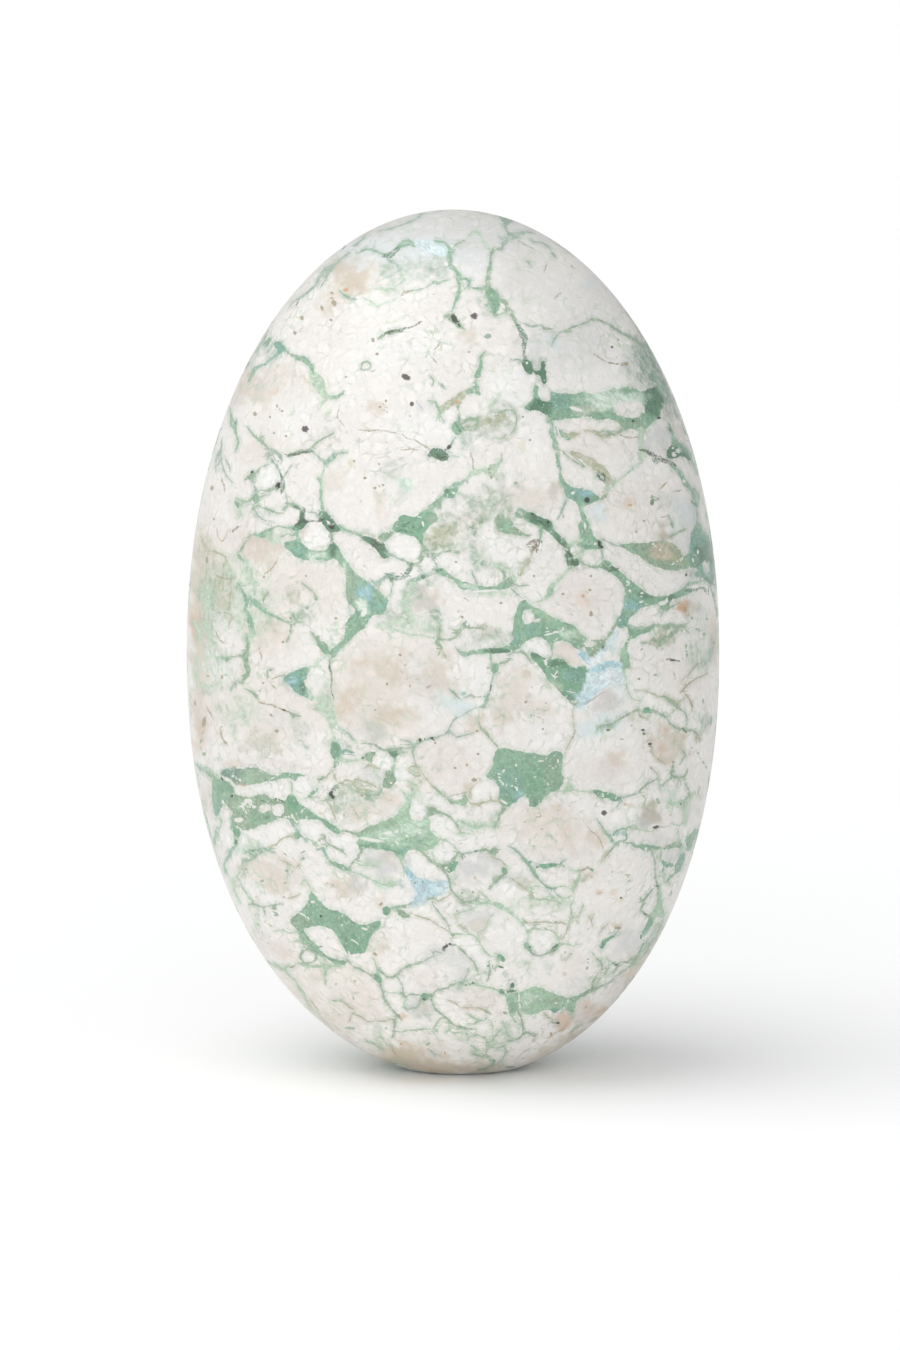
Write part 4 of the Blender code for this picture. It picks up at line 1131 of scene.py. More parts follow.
# %% Around the five-sided pool
draw("""
seam sage 558,791,.9 565,791,1.1 573,790,1 569,783,.8 565,780,.7 | 574,791,.4 583,791,.5 590,792,.8 | \
637,794,.5 643,795 646,799,.6 644,804,.5 | 628,827,.7 634,829,.8 642,830,.6 650,832 657,829,.4 | \
571,870,.5 577,871,.4 582,870,.5 | 580,875,1.1 577,882,1.4 574,888,1 572,893,.6 | 541,887,.5 533,886,.6 \
527,889 | 546,889,.7 550,894 555,898,.6 | 556,888,.6 560,886 567,887,.7 573,890,.6 573,894 568,898 \
561,898,.7 556,894,.6 554,890,.5 | 530,898,.6 537,900,.7 545,899 552,901 560,903,.6 | 531,893,.5 532,888
seam moss 504,808,1.8 501,813 498,820,1.4 495,827,1 | 622,798,.9 629,796,.5 636,794,.6 640,790,.7 \
644,787,1 648,783,1.2 653,781,.6 658,778,.7 | 650,849,1 653,855,.8 655,862 655,870 655,878,1 657,884,1.1 \
660,889,1 | 616,844,1.1 612,849,1 609,852,.8 | 505,873,1.1 500,878,1.6 495,883 490,887,1.2 | 640,911,.6 \
643,902,1.2 648,895,1 653,889,.7
seam slate 620,799,.7 619,803,.6 617,807 614,809,.4 | 510,847,.7 514,849,.9
seam umberhaze 600,797,.4 604,802,.3 | 658,778,.7 657,774,.6 655,771,.4 651,768,.6 | 609,852,.7 606,857,.6 \
602,861,.5 | 492,857,.7 500,860,.8 505,865 | 511,878,.6 518,883,.7 524,888 530,893,.8 535,898,.7
seam jade 597,820,.4 601,825,.7 604,830,1 607,834,1.3 610,838,1.6 613,842,1.5 616,844,1.2 | 612,836,.8 \
616,831,.9 621,829,.8 627,828,.7 633,826,.6 | 616,843,.9 621,841 626,843,.8 631,843,.9 635,846,1.4 | \
626,834,.7 627,839 624,841,.6 | 514,849,.7 518,852,1.1 522,857,1.5 527,863,1.7 531,867,2 534,872 \
537,877,1.3 541,882,.9 545,886 551,889,1.1 556,888,.8
seam tanline 587,826,.4 592,832,.6 598,836,.7 601,842 603,848,.4
seam umber 582,870,.7 587,868,.8 591,869,.6
seam palejade 659,886,1.4 660,895,1.9 659,905,2
pool jade 494,758 493,765 490,771 484,777 490,779 497,783 500,790 499,796 498,801 501,806 505,808 512,805 \
517,801 521,797 524,795 527,799 529,801 530,806 534,807 538,805 542,803 543,798 547,796 552,792 558,791 \
560,788 562,782 563,778 561,770 562,768 563,760 562,752 557,751 552,752 548,755 541,755 534,753 527,752 \
520,751 514,751 509,748 502,747 496,750
pool deepjade 590,792 595,790 599,789 603,791 609,792 615,795 620,798 623,797 622,799 618,801 613,801 \
608,799 605,797 601,799 598,796 594,793
pool moss 641,788 645,784 648,783 647,786 643,790
pool jade 633,846 638,845 645,844 652,845 658,846 665,848 665,850 656,850 650,849 647,853 644,851 640,848
pool deepjade 534,870 536,866 540,864 546,864 553,863 560,863 563,860 565,861 562,864 565,867 571,870 \
564,868 559,866 553,867 548,868 543,869 540,867 537,868
pool moss 481,850 486,849 490,851 494,847 497,850 502,850 498,852 496,856 491,855 487,852
pool deepjade 501,871 503,867 507,869 508,873 504,875
lump 504,802,4,1.3,-30 620,838,3.4,2.4 646,849,1.2,2
tint teal 508,786,13,17,0,.55
tint deepjade 533,784,11,15,0,.6
tint moss 551,772,11,18,0,.4
tint blue 520,795,3,6,-20,.6
tint deepjade 507,802,8,5,20,.5
tint deep 534,803,4,4,0,.4
tint teal 616,798,5,3,0,.5
haze sage 568,786,6,6,0,.85 495,819,4,10,0,.75
haze olive 651,806,7,7,0,.5
haze aqua 619,833,8,5,0,.7
haze umberhaze 606,856,3,4,-20,.5 584,876,8,6,20,.55
haze moss 497,879,8,4,40,.7
haze olive 524,884,10,5,0,.4
haze sage 540,903,30,6,0,.4
haze olive 573,885,4,6,0,.4
stain tan 628,805,6,1.8,0,.5
stain umber 648,818,12,12,20,.55
stain grey 642,822,12,8,0,.5
stain tan 596,838,9,9,-40,.4 592,874,6,5,0,.4
stain rust 599,892,4,3,0,.4 612,893,3,5,-30,.3
stain yellow 622,899,3,2,0,.5
stain tan 556,808,4,3,0,.45
stain rust 569,813,5,5,0,.25 567,833,9,6,0,.3
stain tan 520,831,9,7,0,.25 548,816,20,12,0,.25 572,853,6,7,0,.25
stain cream 548,830,48,26,0,.5
stain snow 512,838,14,12,0,.35 585,810,20,12,0,.35 622,815,14,12,0,.3 503,890,10,8,0,.5
stain grey 515,878,11,9,0,.4
speck islet 516,765,1,1.4 504,770,1.2,.9 499,774,2.2,.7 516,779,.8,1 500,780,1.2,1 503,784,1.1,1.6 \
512,786,1.4,.8 517,789,1.1,1.9 541,761,2.8,.8 558,761,.9,2 535,777,1.5,.6 548,784,.8,1.4 553,768,1.6,.7 \
566,781,1.8,1.2 566,776,.8,2 603,795,.8,2.4,10 616,798,.7,1.6,-30 613,837,.8,2.2,25
speck umber 651,768,1.3,.9 612,872,1.3,.6,35
speck slate 658,800,1.4,1.4
speck plum 604,813,2.8,2.6
speck tan 625,804,1.6,1.3 600,893,2,1,15 558,810,1.1,1 557,818,1.1,1.1 539,809,1,.8 576,819,1.2,.8
speck coal 656,827,3.4,1.5,20
speck deepjade 530,862,1.8,1.4 592,870,2.2,1.4,-40
speck umberhaze 628,875,3,.8 629,881,.8,1 537,817,1,1 541,816,.7,1.2 542,829,1,1 534,846,1,1.2 \
525,822,1.5,.6
speck umberdark 621,898,1.4,1.1
""")

# %% The pool with a lump in it, and the foot of the left side
draw("""
seam moss 300,956,1 303,951,1.1 308,949,1.3 314,951,1.2 317,956,1 315,961,.8 309,963,.7 303,962 300,957,.8 \
| 347,961,1.4 351,964,.8 355,968 360,969,.9 366,972,1 371,975,1.1 375,978,1.3 | 380,984,1 382,990 \
384,997,1.5 386,1002 389,1005,1 391,1009,1.1 395,1013 400,1018,1 | 380,971,1 383,974 387,977,.8 393,977 \
396,974,1 401,971 | 251,904,.9 257,905 263,907,1 265,913,.7 | 263,907,.8 269,906 275,905,.9 281,904,.6 | \
394,1019,.7 395,1024,1.5 394,1029,1.2 393,1036,.7
seam sage 317,957,.8 321,955,.7 325,959,.9 324,964,1 | 262,958,.6 268,962,.9 274,965,1.6 281,969,1.8 \
286,968,1.2 288,965,.9 292,968 297,963 302,964,1.1 306,966,1 313,967,.9 319,966,1.3 326,968,1.4 \
332,966,1.2 338,965 | 378,973,1 377,967,.8 375,962,.6 373,957,.4 | 384,991,.4 391,993,.5 400,993,.4 | \
284,970,1 290,976,1.1 296,981,1.4 299,988,1.2 304,995,1.4 307,1002,1.2 311,1008,.8 317,1014,.5 | \
275,931,.5 281,930,.8 287,929,.4 | 284,931,.4 290,933,.5 297,932,.4 | 295,941,.6 300,940,.9 304,945,1 | \
326,969,.9 325,976,1 326,983,.6 | 331,1000,.6 337,1001,.9 343,1000,.5 | 366,1041,.9 373,1043,1 378,1047 \
384,1050,.6 | 381,1036,.6 385,1042,.8 390,1046,.5
seam tanline 309,998,.5 313,1003,.7 317,1009 321,1017,.5 328,1024 334,1031 | 392,1047,.6 394,1052,.8 \
398,1057,.6
seam umberhaze 343,1002,.5 348,1006,.7 353,1009,.4 | 350,1020,.6 352,1014,.7 358,1015 364,1019 369,1022 \
377,1021,.5 386,1021 394,1018,.7
pool jade 288,920 297,914 303,909 307,903 308,896 311,890 315,895 319,900 324,906 331,910 340,912 346,915 \
352,921 359,925 366,925 373,922 380,920 381,927 375,932 371,935 368,943 366,952 361,954 356,954 350,955 \
345,950 342,945 339,938 335,933 330,929 322,926 314,926 309,928 302,928 307,934 311,940 317,944 321,949 \
325,954 331,957 336,959 341,960 348,961 346,965 338,965 333,963 326,958 318,956 314,951 308,949 303,944 \
300,939 298,930 294,928
pool deepjade 373,974 378,972 381,976 381,986 378,983 375,979
lump 302,914,3,1,-25 313,902,2.4,1.4 365,929,3.2,1.3,-10 322,950,3,1,-30
tint moss 300,921,11,6,0,.6
tint deepjade 355,944,12,11,0,.6 340,962,8,3,0,.6
tint sage 310,943,8,5,-45,.4
haze moss 278,966,6,3,-20,.5
haze sage 325,966,5,4,0,.5 256,922,3,15,-5,.6 252,905,3,8,-20,.4 264,936,3,4,0,.35 325,976,3,9,0,.35 \
377,1033,4,9,0,.4 380,1042,6,9,0,.4
stain tan 312,1002,4,9,-35,.5 326,1022,5,14,-45,.35
stain rose 285,950,14,10,-20,.3
stain tan 288,955,12,6,-20,.25
stain rose 262,947,12,12,0,.25
stain tan 316,976,10,7,0,.35
stain cream 350,985,34,24,-40,.4
stain snow 318,985,14,10,-40,.4
stain tan 377,950,10,12,0,.35
stain rose 362,1010,22,14,-20,.25
stain tan 397,1052,6,7,0,.7 388,1060,12,2.5,-15,.5
stain rose 350,1042,16,3,-35,.3
speck islet 308,918,.8,2.2,35 357,943,.7,2.6,40 353,940,2.4,.6,-10 349,953,.8,2.5,20 342,925,.8,1.2 \
306,946,.6,1.8,40
speck coal 321,916,1.3,1.2
speck umberdark 321,947,1.9,1.1,-15
speck umber 292,967,2.6,.7,18 375,954,2.2,1.2,-30
speck moss 274,908,2.6,2.2 276,915,2.6,1.3 352,1029,2.4,1
speck tan 270,925,3,.8,-35 355,981,1.6,1.6
speck slate 336,984,.9,1.2
speck sage 350,1028,5,1.5,-5 386,1028,1.2,1.2
""")

# %% The bottom, in the middle
# The wide tan and umberhaze ovals along the bottom edge and the cream ovals at the lower left make the foot
# warmer.
draw("""
seam moss 433,905,.7 438,911,.9 441,915,.8 445,920 448,925,.7 450,931,.9 452,935,1.4 | 452,945,.5 \
456,945,.8 460,949,1 464,952,1.1 468,957,.8 473,961 476,966,.9 478,972,.6 | 394,977,.7 399,972,1.1 \
404,968,1.5 409,966 415,964,1 419,963,1.1 424,961,.6 430,958 434,955,.8 433,953 437,951,.7 441,953,.5 | \
406,997,.7 411,994,.6 418,995,.8 | 421,998,.7 420,1003,.6 416,1008,1 411,1008,.6 | 429,996,.8 433,993,1 \
437,990,.9 444,989,.8 448,988,.7 450,985 455,984,.8 460,982,1 464,980,.8 467,975,.6 468,971 | 489,964,.6 \
490,971,.8 488,979,.9 | 509,989,.8 512,992,1 516,991,.8 | 518,1011,.7 520,1015 522,1021 523,1027,.9 \
524,1032,1.3 | 524,1032,1.3 530,1034,1.4 535,1035,1 534,1040,.5 | 524,1033,1 521,1037,.9 515,1040,.8 \
509,1041 | 533,954,.7 540,956,.5 546,954,1 551,951,1.4 | 433,995,.8 431,999,.6 433,1004,.8 436,1010,.9 \
441,1014,.8 446,1018 451,1022 455,1026 461,1027,.9 467,1029,.7 474,1029,.9 | 404,1008,1.2 408,1010,1.6 \
411,1009,.7 | 494,1063,1.3 490,1066,1.4 484,1069,1.3 478,1070,.6
seam umberhaze 412,914,.5 421,917,.7 430,920 438,925 445,929,.6 451,933 | 523,921,.6 530,923 537,922 \
545,922 553,923,.7 561,923 | 448,1000,.5 455,1003,.7 460,1007,.8 466,1008,.6 472,1007 478,1008 484,1010,.7 \
489,1013,1 | 455,917,.4 459,925 466,929,.5
seam sage 454,934,.5 460,934,.6 467,934 474,935,.7 477,938 480,943,.8 483,949,.9 486,953,1.2 490,956,1.1 \
495,956,.7 | 474,934,.4 480,932,.5 486,928 488,921 492,915 | 495,956,.7 498,959 499,964,.8 496,968,.6 \
491,970,.5 | 405,999,.6 404,1004,.5 405,1008,.8 | 470,984,.9 478,985,.8 485,987,.9 491,988,.8 497,990,.9 | \
455,914,.4 462,912,.5 470,910,.6 478,905,.8 | 528,932,.6 534,928,.9 541,930,.6 548,930 554,932,.7 558,938 \
559,944,.6 | 441,1018,.9 437,1023 434,1028,.7 437,1032 | 449,1023,.7 450,1029 446,1032,.6 | 395,1031,.6 \
402,1032,.8 408,1030,.7 416,1030,.6 426,1029 434,1029 | 464,1030,.8 467,1034,.9 468,1040,.8 | 470,1036,.6 \
478,1035,.9 485,1038,1 488,1043,1.2 487,1049 486,1055,1.3 490,1059,1.4 494,1062,1.2 | 472,1046,1 \
476,1049,.8 481,1051,.5 | 472,1053,1.2 479,1056 486,1056,1 | 487,1018,.6 484,1021,.7 479,1021 474,1024 \
468,1024,.5 | 468,1015,.5 474,1018,.8 480,1020,.7 | 490,1021,.5 493,1027,.7 492,1033,.6 | 500,1030,.7 \
496,1035,.8 492,1041,1 488,1042 | 503,1022,.5 506,1030,.7 509,1036,.8 515,1040 | 489,1047,.9 497,1048 \
504,1046,.8 507,1051,.7 503,1058 | 511,1014,.5 514,1020,.8 519,1024,.9 | 447,1031,.6 455,1033 463,1032
seam slate 397,977,.4 401,982,.7 403,988,.6 403,993,.7 | 430,1050,1 434,1053,.7 438,1055,.5
seam jade 457,985,1 461,983,1.6 465,981,.9
seam palejade 477,905,.8 484,902,1.6 491,903,2.2 498,905,2.4 504,909,2 510,912,1.4 516,917,1 521,922,.9 \
525,927 528,932 528,938,.8 527,943,1
pool moss 396,908 402,910 406,914 411,915 409,918 402,918 397,914 | 400,992 404,993 407,996 405,999 403,996
pool deepjade 420,995 425,993 430,996 427,998 424,1001 421,998 | 496,956 499,954 503,956 506,960 503,962 \
499,961
pool deep 509,984 512,981 515,983 514,988 510,989
pool deepjade 498,991 500,988 504,989 505,993 503,995 499,994
pool palejade 505,993 510,994 517,992 524,991 530,988 536,986 544,988 549,992 555,995 562,997 566,1001 \
563,1005 558,1009 553,1012 549,1010 543,1011 537,1013 531,1015 525,1014 520,1010 517,1011 515,1014 \
512,1017 510,1015 508,1008 507,1001 504,997
pool jade 523,946 526,941 529,944 531,949 534,954 532,957 529,952 526,949
pool deep 551,950 554,946 556,943 559,944 557,949 553,953
lump 505,987,2.6,1.7
tint jade 511,1004,5,9,0,.5
tint mint 534,998,10,6,0,.5
tint moss 552,1002,8,5,0,.4
tint deepjade 514,992,3,2,0,.6
haze blue 418,903,8,4,20,.4
haze moss 401,973,4,4,0,.6
haze jade 459,986,10,5,10,.5
haze sage 479,977,8,8,0,.5
haze jade 505,974,4,4,-20,.7
haze moss 535,928,5,2,0,.4
haze sage 521,962,7,5,0,.45 529,969,5,8,0,.4 549,968,4,7,0,.35
haze slate 428,1012,8,7,0,.3
haze sage 427,1041,4,5,30,.35 462,1036,8,5,0,.4 475,1053,5,5,0,.4
haze moss 499,1064,9,4,0,.4
haze jade 473,1073,4,1.5,0,.5
haze sage 508,1028,9,9,0,.45 497,1042,10,9,0,.45
stain rust 471,1008,6,2,0,.35
stain grey 418,1006,13,9,20,.5
stain tan 424,1004,6,9,-15,.35
stain rust 402,1017,4,3,0,.5 402,1050,3,7,0,.35
stain tan 402,1054,10,9,0,.6
stain rust 444,1056,4,3,0,.3
stain cream 425,1047,22,8,0,.4
stain tan 440,1068,44,4,0,.5 412,1061,22,5,-15,.4
stain rose 480,1000,24,12,-15,.3
stain grey 478,918,22,12,0,.4
stain tan 476,926,12,6,20,.3
stain grey 447,957,26,10,-10,.35
stain rose 425,978,20,10,-20,.25
stain grey 460,975,12,9,0,.35
stain snow 470,945,14,7,-30,.5 485,963,7,9,0,.5 541,943,10,10,0,.5 512,938,12,14,0,.4
stain tan 405,1058,30,12,-15,.6
stain umberhaze 398,1066,16,6,-20,.4
stain tan 460,1068,50,7,0,.45
stain cream 330,1020,26,16,-30,.5 300,985,24,18,-25,.45
speck moss 404,907,3,1,-15 453,935,2,1.2,-20 505,1013,2.2,1.4,-20 556,922,1.6,1 546,929,1.7,.8,-30 \
428,1044,2.2,1.1,35 494,1061,1.5,2 510,1067,5,1.2,3 515,1022,1.2,.8
speck plum 445,947,3.2,1.5,25
speck coal 450,944,1.9,1.1,-15 424,999,1.4,.9
speck slate 444,951,1.3,1 457,911,1.2,1 486,1012,2.8,.8,-28
speck deep 473,983,1.6,1.2 466,985,1,.8 488,966,1.2,.8 501,967,3,1.1,-15 508,992,1.7,1.2 513,991,2,1.3 \
530,947,1.2,1.2
speck islet 519,998,.9,5 520,1007,1,2 526,1003,.6,3,25 531,1001,.5,1.8,20
speck teal 554,1010,3,1.4,10
speck umber 399,1015,.9,.8
speck rust 401,1044,1.4,1.1 445,1053,.7,1.8,15
""")


# %% [markdown]
# ## Laying the pattern on the skin
#
# Each point of the skin now learns how far it is from the nearest seam, pool and speck. The material
# turns those distances into sharp colour borders, so a seam thinner than the spacing of the points
# still comes out crisp. A seam also keeps which side of it the point is on: between a point on its left
# and one on its right the distance then passes through nought exactly on the seam. All distances are
# kept in millimetres on the stone.

# %% Points that the picture shows
MM_PER_PIXEL = 1000 / PIXELS_PER_METRE
FAR = 9.0
JUST_BEHIND = -0.12

count = len(stone_mesh.vertices)
places = np.empty(count * 3)
stone_mesh.vertices.foreach_get("co", places)
places = places.reshape(-1, 3)
outward = np.empty(count * 3)
stone_mesh.vertices.foreach_get("normal", outward)
outward = outward.reshape(-1, 3)
to_eye = np.array(eye) - places
to_eye /= np.linalg.norm(to_eye, axis=1)[:, None]
facing = (outward * to_eye).sum(axis=1)
shown = np.where(facing > JUST_BEHIND)[0]
across_all, down_all = seen_at(places)
across, down = across_all[shown], down_all[shown]
print(len(shown), "points face the picture")


# %% Distances to lines and outlines
def soft_step(low, high, value):
    share = np.clip((value - low) / (high - low), 0, 1)
    return share * share * (3 - 2 * share)


def points_near(xs, ys, margin):
    wide = (across > min(xs) - margin) & (across < max(xs) + margin)
    return np.where(wide & (down > min(ys) - margin) & (down < max(ys) + margin))[0]


def along_line(px, py, start, end):
    """Signed distance to a stretch of line, and how far along it the nearest place is."""
    run, drop = end[0] - start[0], end[1] - start[1]
    length_squared = max(run * run + drop * drop, 1e-9)
    share = np.clip(((px - start[0]) * run + (py - start[1]) * drop) / length_squared, 0, 1)
    gap_x, gap_y = px - start[0] - share * run, py - start[1] - share * drop
    side = np.where(run * gap_y - drop * gap_x < 0, -1.0, 1.0)
    return side * np.hypot(gap_x, gap_y), share


def rounded(corners):
    """Cuts each corner of an outline once, as a natural edge has no sharp corners."""
    cut = []
    for (x0, y0), (x1, y1) in zip(corners, corners[1:] + corners[:1]):
        cut.append((0.75 * x0 + 0.25 * x1, 0.75 * y0 + 0.25 * y1))
        cut.append((0.25 * x0 + 0.75 * x1, 0.25 * y0 + 0.75 * y1))
    return cut


def inside_depth(px, py, corners):
    """Distance to an outline, below nought inside it."""
    distance = np.full(len(px), 1e9)
    inside = np.zeros(len(px), bool)
    for start, end in zip(corners, corners[1:] + corners[:1]):
        gap, _ = along_line(px, py, start, end)
        distance = np.minimum(distance, np.abs(gap))
        crosses = (start[1] > py) != (end[1] > py)
        drop = end[1] - start[1]
        meets = start[0] + (py - start[1]) * (end[0] - start[0]) / (drop if drop else 1e-9)
        inside ^= crosses & (px < meets)
    return np.where(inside, -distance, distance)


def in_patch(px, py, x, y, rx, ry, turn):
    """Place within a turned oval: the two shares of its half lengths."""
    angle = math.radians(turn)
    dx, dy = px - x, py - y
    along = dx * math.cos(angle) - dy * math.sin(angle)
    aside = dx * math.sin(angle) + dy * math.cos(angle)
    return along / rx, aside / ry


# %% Ovals that don't look drawn with a compass
WANDERS = ((41, 23, 0.4, 5.0), (17, 29, 2.1, 3.0), (9, 12, 4.4, 1.6))


def wandering(first, second, phase_shift):
    """A smooth field that moves a place by a few picture units, the same at every run."""
    moved = np.zeros(len(first))
    for long_wave, cross_wave, phase, amount in WANDERS:
        turn = first * 2 * math.pi / long_wave + phase + phase_shift
        moved += amount * np.sin(turn + 1.9 * np.sin(second * 2 * math.pi / cross_wave + 2 * phase))
    return moved


def in_soft_patch(near, x, y, rx, ry, turn):
    """How far a point is from the middle of a soft oval, as a share of it, with a wandering rim."""
    give = min(1.0, min(rx, ry) / 14)
    moved_x = across[near] + give * wander_x[near]
    moved_y = down[near] + give * wander_y[near]
    return np.hypot(*in_patch(moved_x, moved_y, x, y, rx, ry, turn))


wander_x = wandering(down, across, 0.0)
wander_y = wandering(across, down, 1.3)
print("soft ovals wander up to", round(float(np.abs(wander_x).max() * MM_PER_PIXEL), 2), "mm")

# %% Pools of green, and the lumps that lie in them
SMALLEST_LUMP = 2.6
MORE_COLOUR = 1.25
LOOK_AROUND = 12

pool_edge = np.full(len(shown), FAR)
pool_colour = np.tile(linear(TONES["jade"]), (len(shown), 1))
for tone, corners in pools:
    corners = rounded(corners)
    near = points_near([c[0] for c in corners], [c[1] for c in corners], LOOK_AROUND)
    edge = inside_depth(across[near], down[near], corners) * MM_PER_PIXEL
    newer = (edge < pool_edge[near]) | (edge < 0)
    pool_colour[near[newer]] = linear(TONES[tone])
    pool_edge[near] = np.minimum(pool_edge[near], edge)
for tone, x, y, rx, ry, turn, strength in tints:
    near = points_near([x], [y], max(rx, ry) * 1.4 + 9)
    away = in_soft_patch(near, x, y, rx, ry, turn)
    share = (min(1.0, MORE_COLOUR * strength) * (1 - soft_step(0.6, 1.35, away)))[:, None]
    pool_colour[near] = pool_colour[near] * (1 - share) + linear(TONES[tone]) * share
for x, y, rx, ry, turn in lumps:
    if min(rx, ry) < SMALLEST_LUMP:
        specks.append(("islet", x, y, rx, ry, turn))
        continue
    near = points_near([x], [y], max(rx, ry) + 10)
    away = np.hypot(*in_patch(across[near], down[near], x, y, rx, ry, turn))
    edge = (away - 1) * min(rx, ry) * MM_PER_PIXEL
    pool_edge[near] = np.maximum(pool_edge[near], -edge)
print(len(pools), "pools,", len(tints), "tints and", len(lumps), "lumps are laid")


# %% Seams
def lay_seams(lines):
    """Side, half width, reach and colour of the nearest of the lines, for each shown point."""
    side = np.full(len(shown), FAR)
    width = np.zeros(len(shown))
    reach = np.full(len(shown), FAR)
    colour = np.tile(linear(TONES["moss"]), (len(shown), 1))
    best = np.full(len(shown), FAR)
    for tone, path in lines:
        near = points_near([p[0] for p in path], [p[1] for p in path], LOOK_AROUND)
        for start, end in zip(path, path[1:]):
            gap, share = along_line(across[near], down[near], start, end)
            half = (start[2] + (end[2] - start[2]) * share) * MM_PER_PIXEL
            gap = gap * MM_PER_PIXEL
            nearer = np.abs(gap) - half < best[near]
            chosen = near[nearer]
            best[chosen] = (np.abs(gap) - half)[nearer]
            side[chosen] = gap[nearer]
            reach[chosen] = np.abs(gap)[nearer]
            width[chosen] = half[nearer]
            colour[chosen] = linear(TONES["coalseam" if tone == "coal" else tone])
    return side, width, reach, colour


DARK_TONES = ("coal", "deep", "plum", "umber", "umberdark", "tanline", "yellowline", "rust")
green_seams = lay_seams([line for line in seams if line[0] not in DARK_TONES])
dark_seams = lay_seams([line for line in seams if line[0] in DARK_TONES])
print(len(seams), "seams are laid")

# %% Specks
speck_place = np.full((len(shown), 2), FAR)
speck_reach = np.full(len(shown), FAR)
speck_colour = np.tile(linear(TONES["umber"]), (len(shown), 1))
for tone, x, y, rx, ry, turn in specks:
    near = points_near([x], [y], max(rx, ry) + 7)
    along, aside = in_patch(across[near], down[near], x, y, rx, ry, turn)
    away = (np.hypot(along, aside) - 1) * min(rx, ry) * MM_PER_PIXEL
    nearer = away < speck_reach[near]
    chosen = near[nearer]
    speck_reach[chosen] = away[nearer]
    speck_place[chosen, 0] = along[nearer]
    speck_place[chosen, 1] = aside[nearer]
    speck_colour[chosen] = linear(TONES[tone])
print(len(specks), "specks are laid")

# %% Tints of the pale stone, painted shade and a painted reflection at the crown, and thin green over it
stone_colour_and_painted_light = np.tile(linear(TONES["chalk"]), (len(shown), 1))
# The wide grey and frost ovals at the crown are painted shade and a painted cool reflection, laid into the
# stone's colour together with its real tints.
for tone, x, y, rx, ry, turn, strength in stains_and_painted_light:
    near = points_near([x], [y], max(rx, ry) * 1.6 + 9)
    away = in_soft_patch(near, x, y, rx, ry, turn)
    share = (min(1.0, MORE_COLOUR * strength) * (1 - soft_step(0.45, 1.5, away)))[:, None]
    stone_colour_and_painted_light[near] = stone_colour_and_painted_light[near] * (1 - share) + linear(TONES[tone]) * share
haze_colour = np.tile(linear(TONES["moss"]), (len(shown), 1))
haze_strength = np.zeros(len(shown))
for tone, x, y, rx, ry, turn, strength in hazes:
    near = points_near([x], [y], max(rx, ry) * 1.6 + 9)
    away = in_soft_patch(near, x, y, rx, ry, turn)
    share = strength * (1 - soft_step(0.5, 1.45, away))
    total = share + haze_strength[near]
    pull = (share / np.maximum(total, 1e-6))[:, None]
    haze_colour[near] = haze_colour[near] * (1 - pull) + linear(TONES[tone]) * pull
    haze_strength[near] = 1 - (1 - haze_strength[near]) * (1 - share)
print(len(stains_and_painted_light), "stains and", len(hazes), "hazes are laid")


# %% Keeping it all on the mesh
def keep(name, kind, values, blank):
    """Writes one value per point; the points that the picture doesn't show get the blank one."""
    whole = np.tile(np.array(blank, float), (count, 1))
    whole[shown] = values
    layer = stone_mesh.attributes.new(name, kind, "POINT")
    layer.data.foreach_set({"FLOAT": "value", "FLOAT_VECTOR": "vector"}.get(kind, "color"), whole.ravel())


keep("pool_edge", "FLOAT", pool_edge[:, None], [FAR])
keep("pool_colour", "FLOAT_COLOR", np.c_[pool_colour, np.ones(len(shown))], [0, 0, 0, 1])
keep("green_seam", "FLOAT_VECTOR", np.c_[green_seams[0], green_seams[1], green_seams[2]], [FAR, 0, FAR])
keep("green_seam_colour", "FLOAT_COLOR", np.c_[green_seams[3], np.ones(len(shown))], [0, 0, 0, 1])
keep("dark_seam", "FLOAT_VECTOR", np.c_[dark_seams[0], dark_seams[1], dark_seams[2]], [FAR, 0, FAR])
keep("dark_seam_colour", "FLOAT_COLOR", np.c_[dark_seams[3], np.ones(len(shown))], [0, 0, 0, 1])
keep("speck", "FLOAT_VECTOR", np.c_[speck_place, speck_reach], [FAR, FAR, FAR])
keep("speck_colour", "FLOAT_COLOR", np.c_[speck_colour, np.ones(len(shown))], [0, 0, 0, 1])
keep("stone_colour_and_painted_light", "FLOAT_COLOR", np.c_[stone_colour_and_painted_light, np.ones(len(shown))], [0, 0, 0, 1])
keep("haze", "FLOAT_COLOR", np.c_[haze_colour, haze_strength], [0, 0, 0, 0])
keep("in_picture", "FLOAT", soft_step(-0.10, 0.26, facing[shown])[:, None], [0])
print("the mesh carries", len(stone_mesh.attributes), "layers")

# %% [markdown]
# ## The material's small tools
#
# The finish is one tree of nodes. A few steps come again and again in it: a sum, a soft border
# between two values, a stretch over another range and a mix of two colours. Each gets a short helper,
# so that the cells below read like the description of the stone.

# %% Helpers for nodes
finish = bpy.data.materials.new("polished variscite")
finish.use_nodes = True
tree = finish.node_tree
shader = tree.nodes["Principled BSDF"]


def put(value, socket):
    """Links an output to a socket, or sets the socket to a plain value."""
    if isinstance(value, bpy.types.NodeSocket):
        tree.links.new(value, socket)
    else:
        socket.default_value = value


def sums(operation, first, second=0.0, third=0.0, clamp=False):
    step = tree.nodes.new("ShaderNodeMath")
    step.operation = operation
    step.use_clamp = clamp
    put(first, step.inputs[0])
    put(second, step.inputs[1])
    put(third, step.inputs[2])
    return step.outputs[0]


def border(value, empty, full):
    """0 where the value is at empty, 1 where it is at full, and soft between them."""
    step = tree.nodes.new("ShaderNodeMapRange")
    step.interpolation_type = "SMOOTHSTEP"
    put(value, step.inputs["Value"])
    put(empty, step.inputs["From Min"])
    put(full, step.inputs["From Max"])
    return step.outputs["Result"]


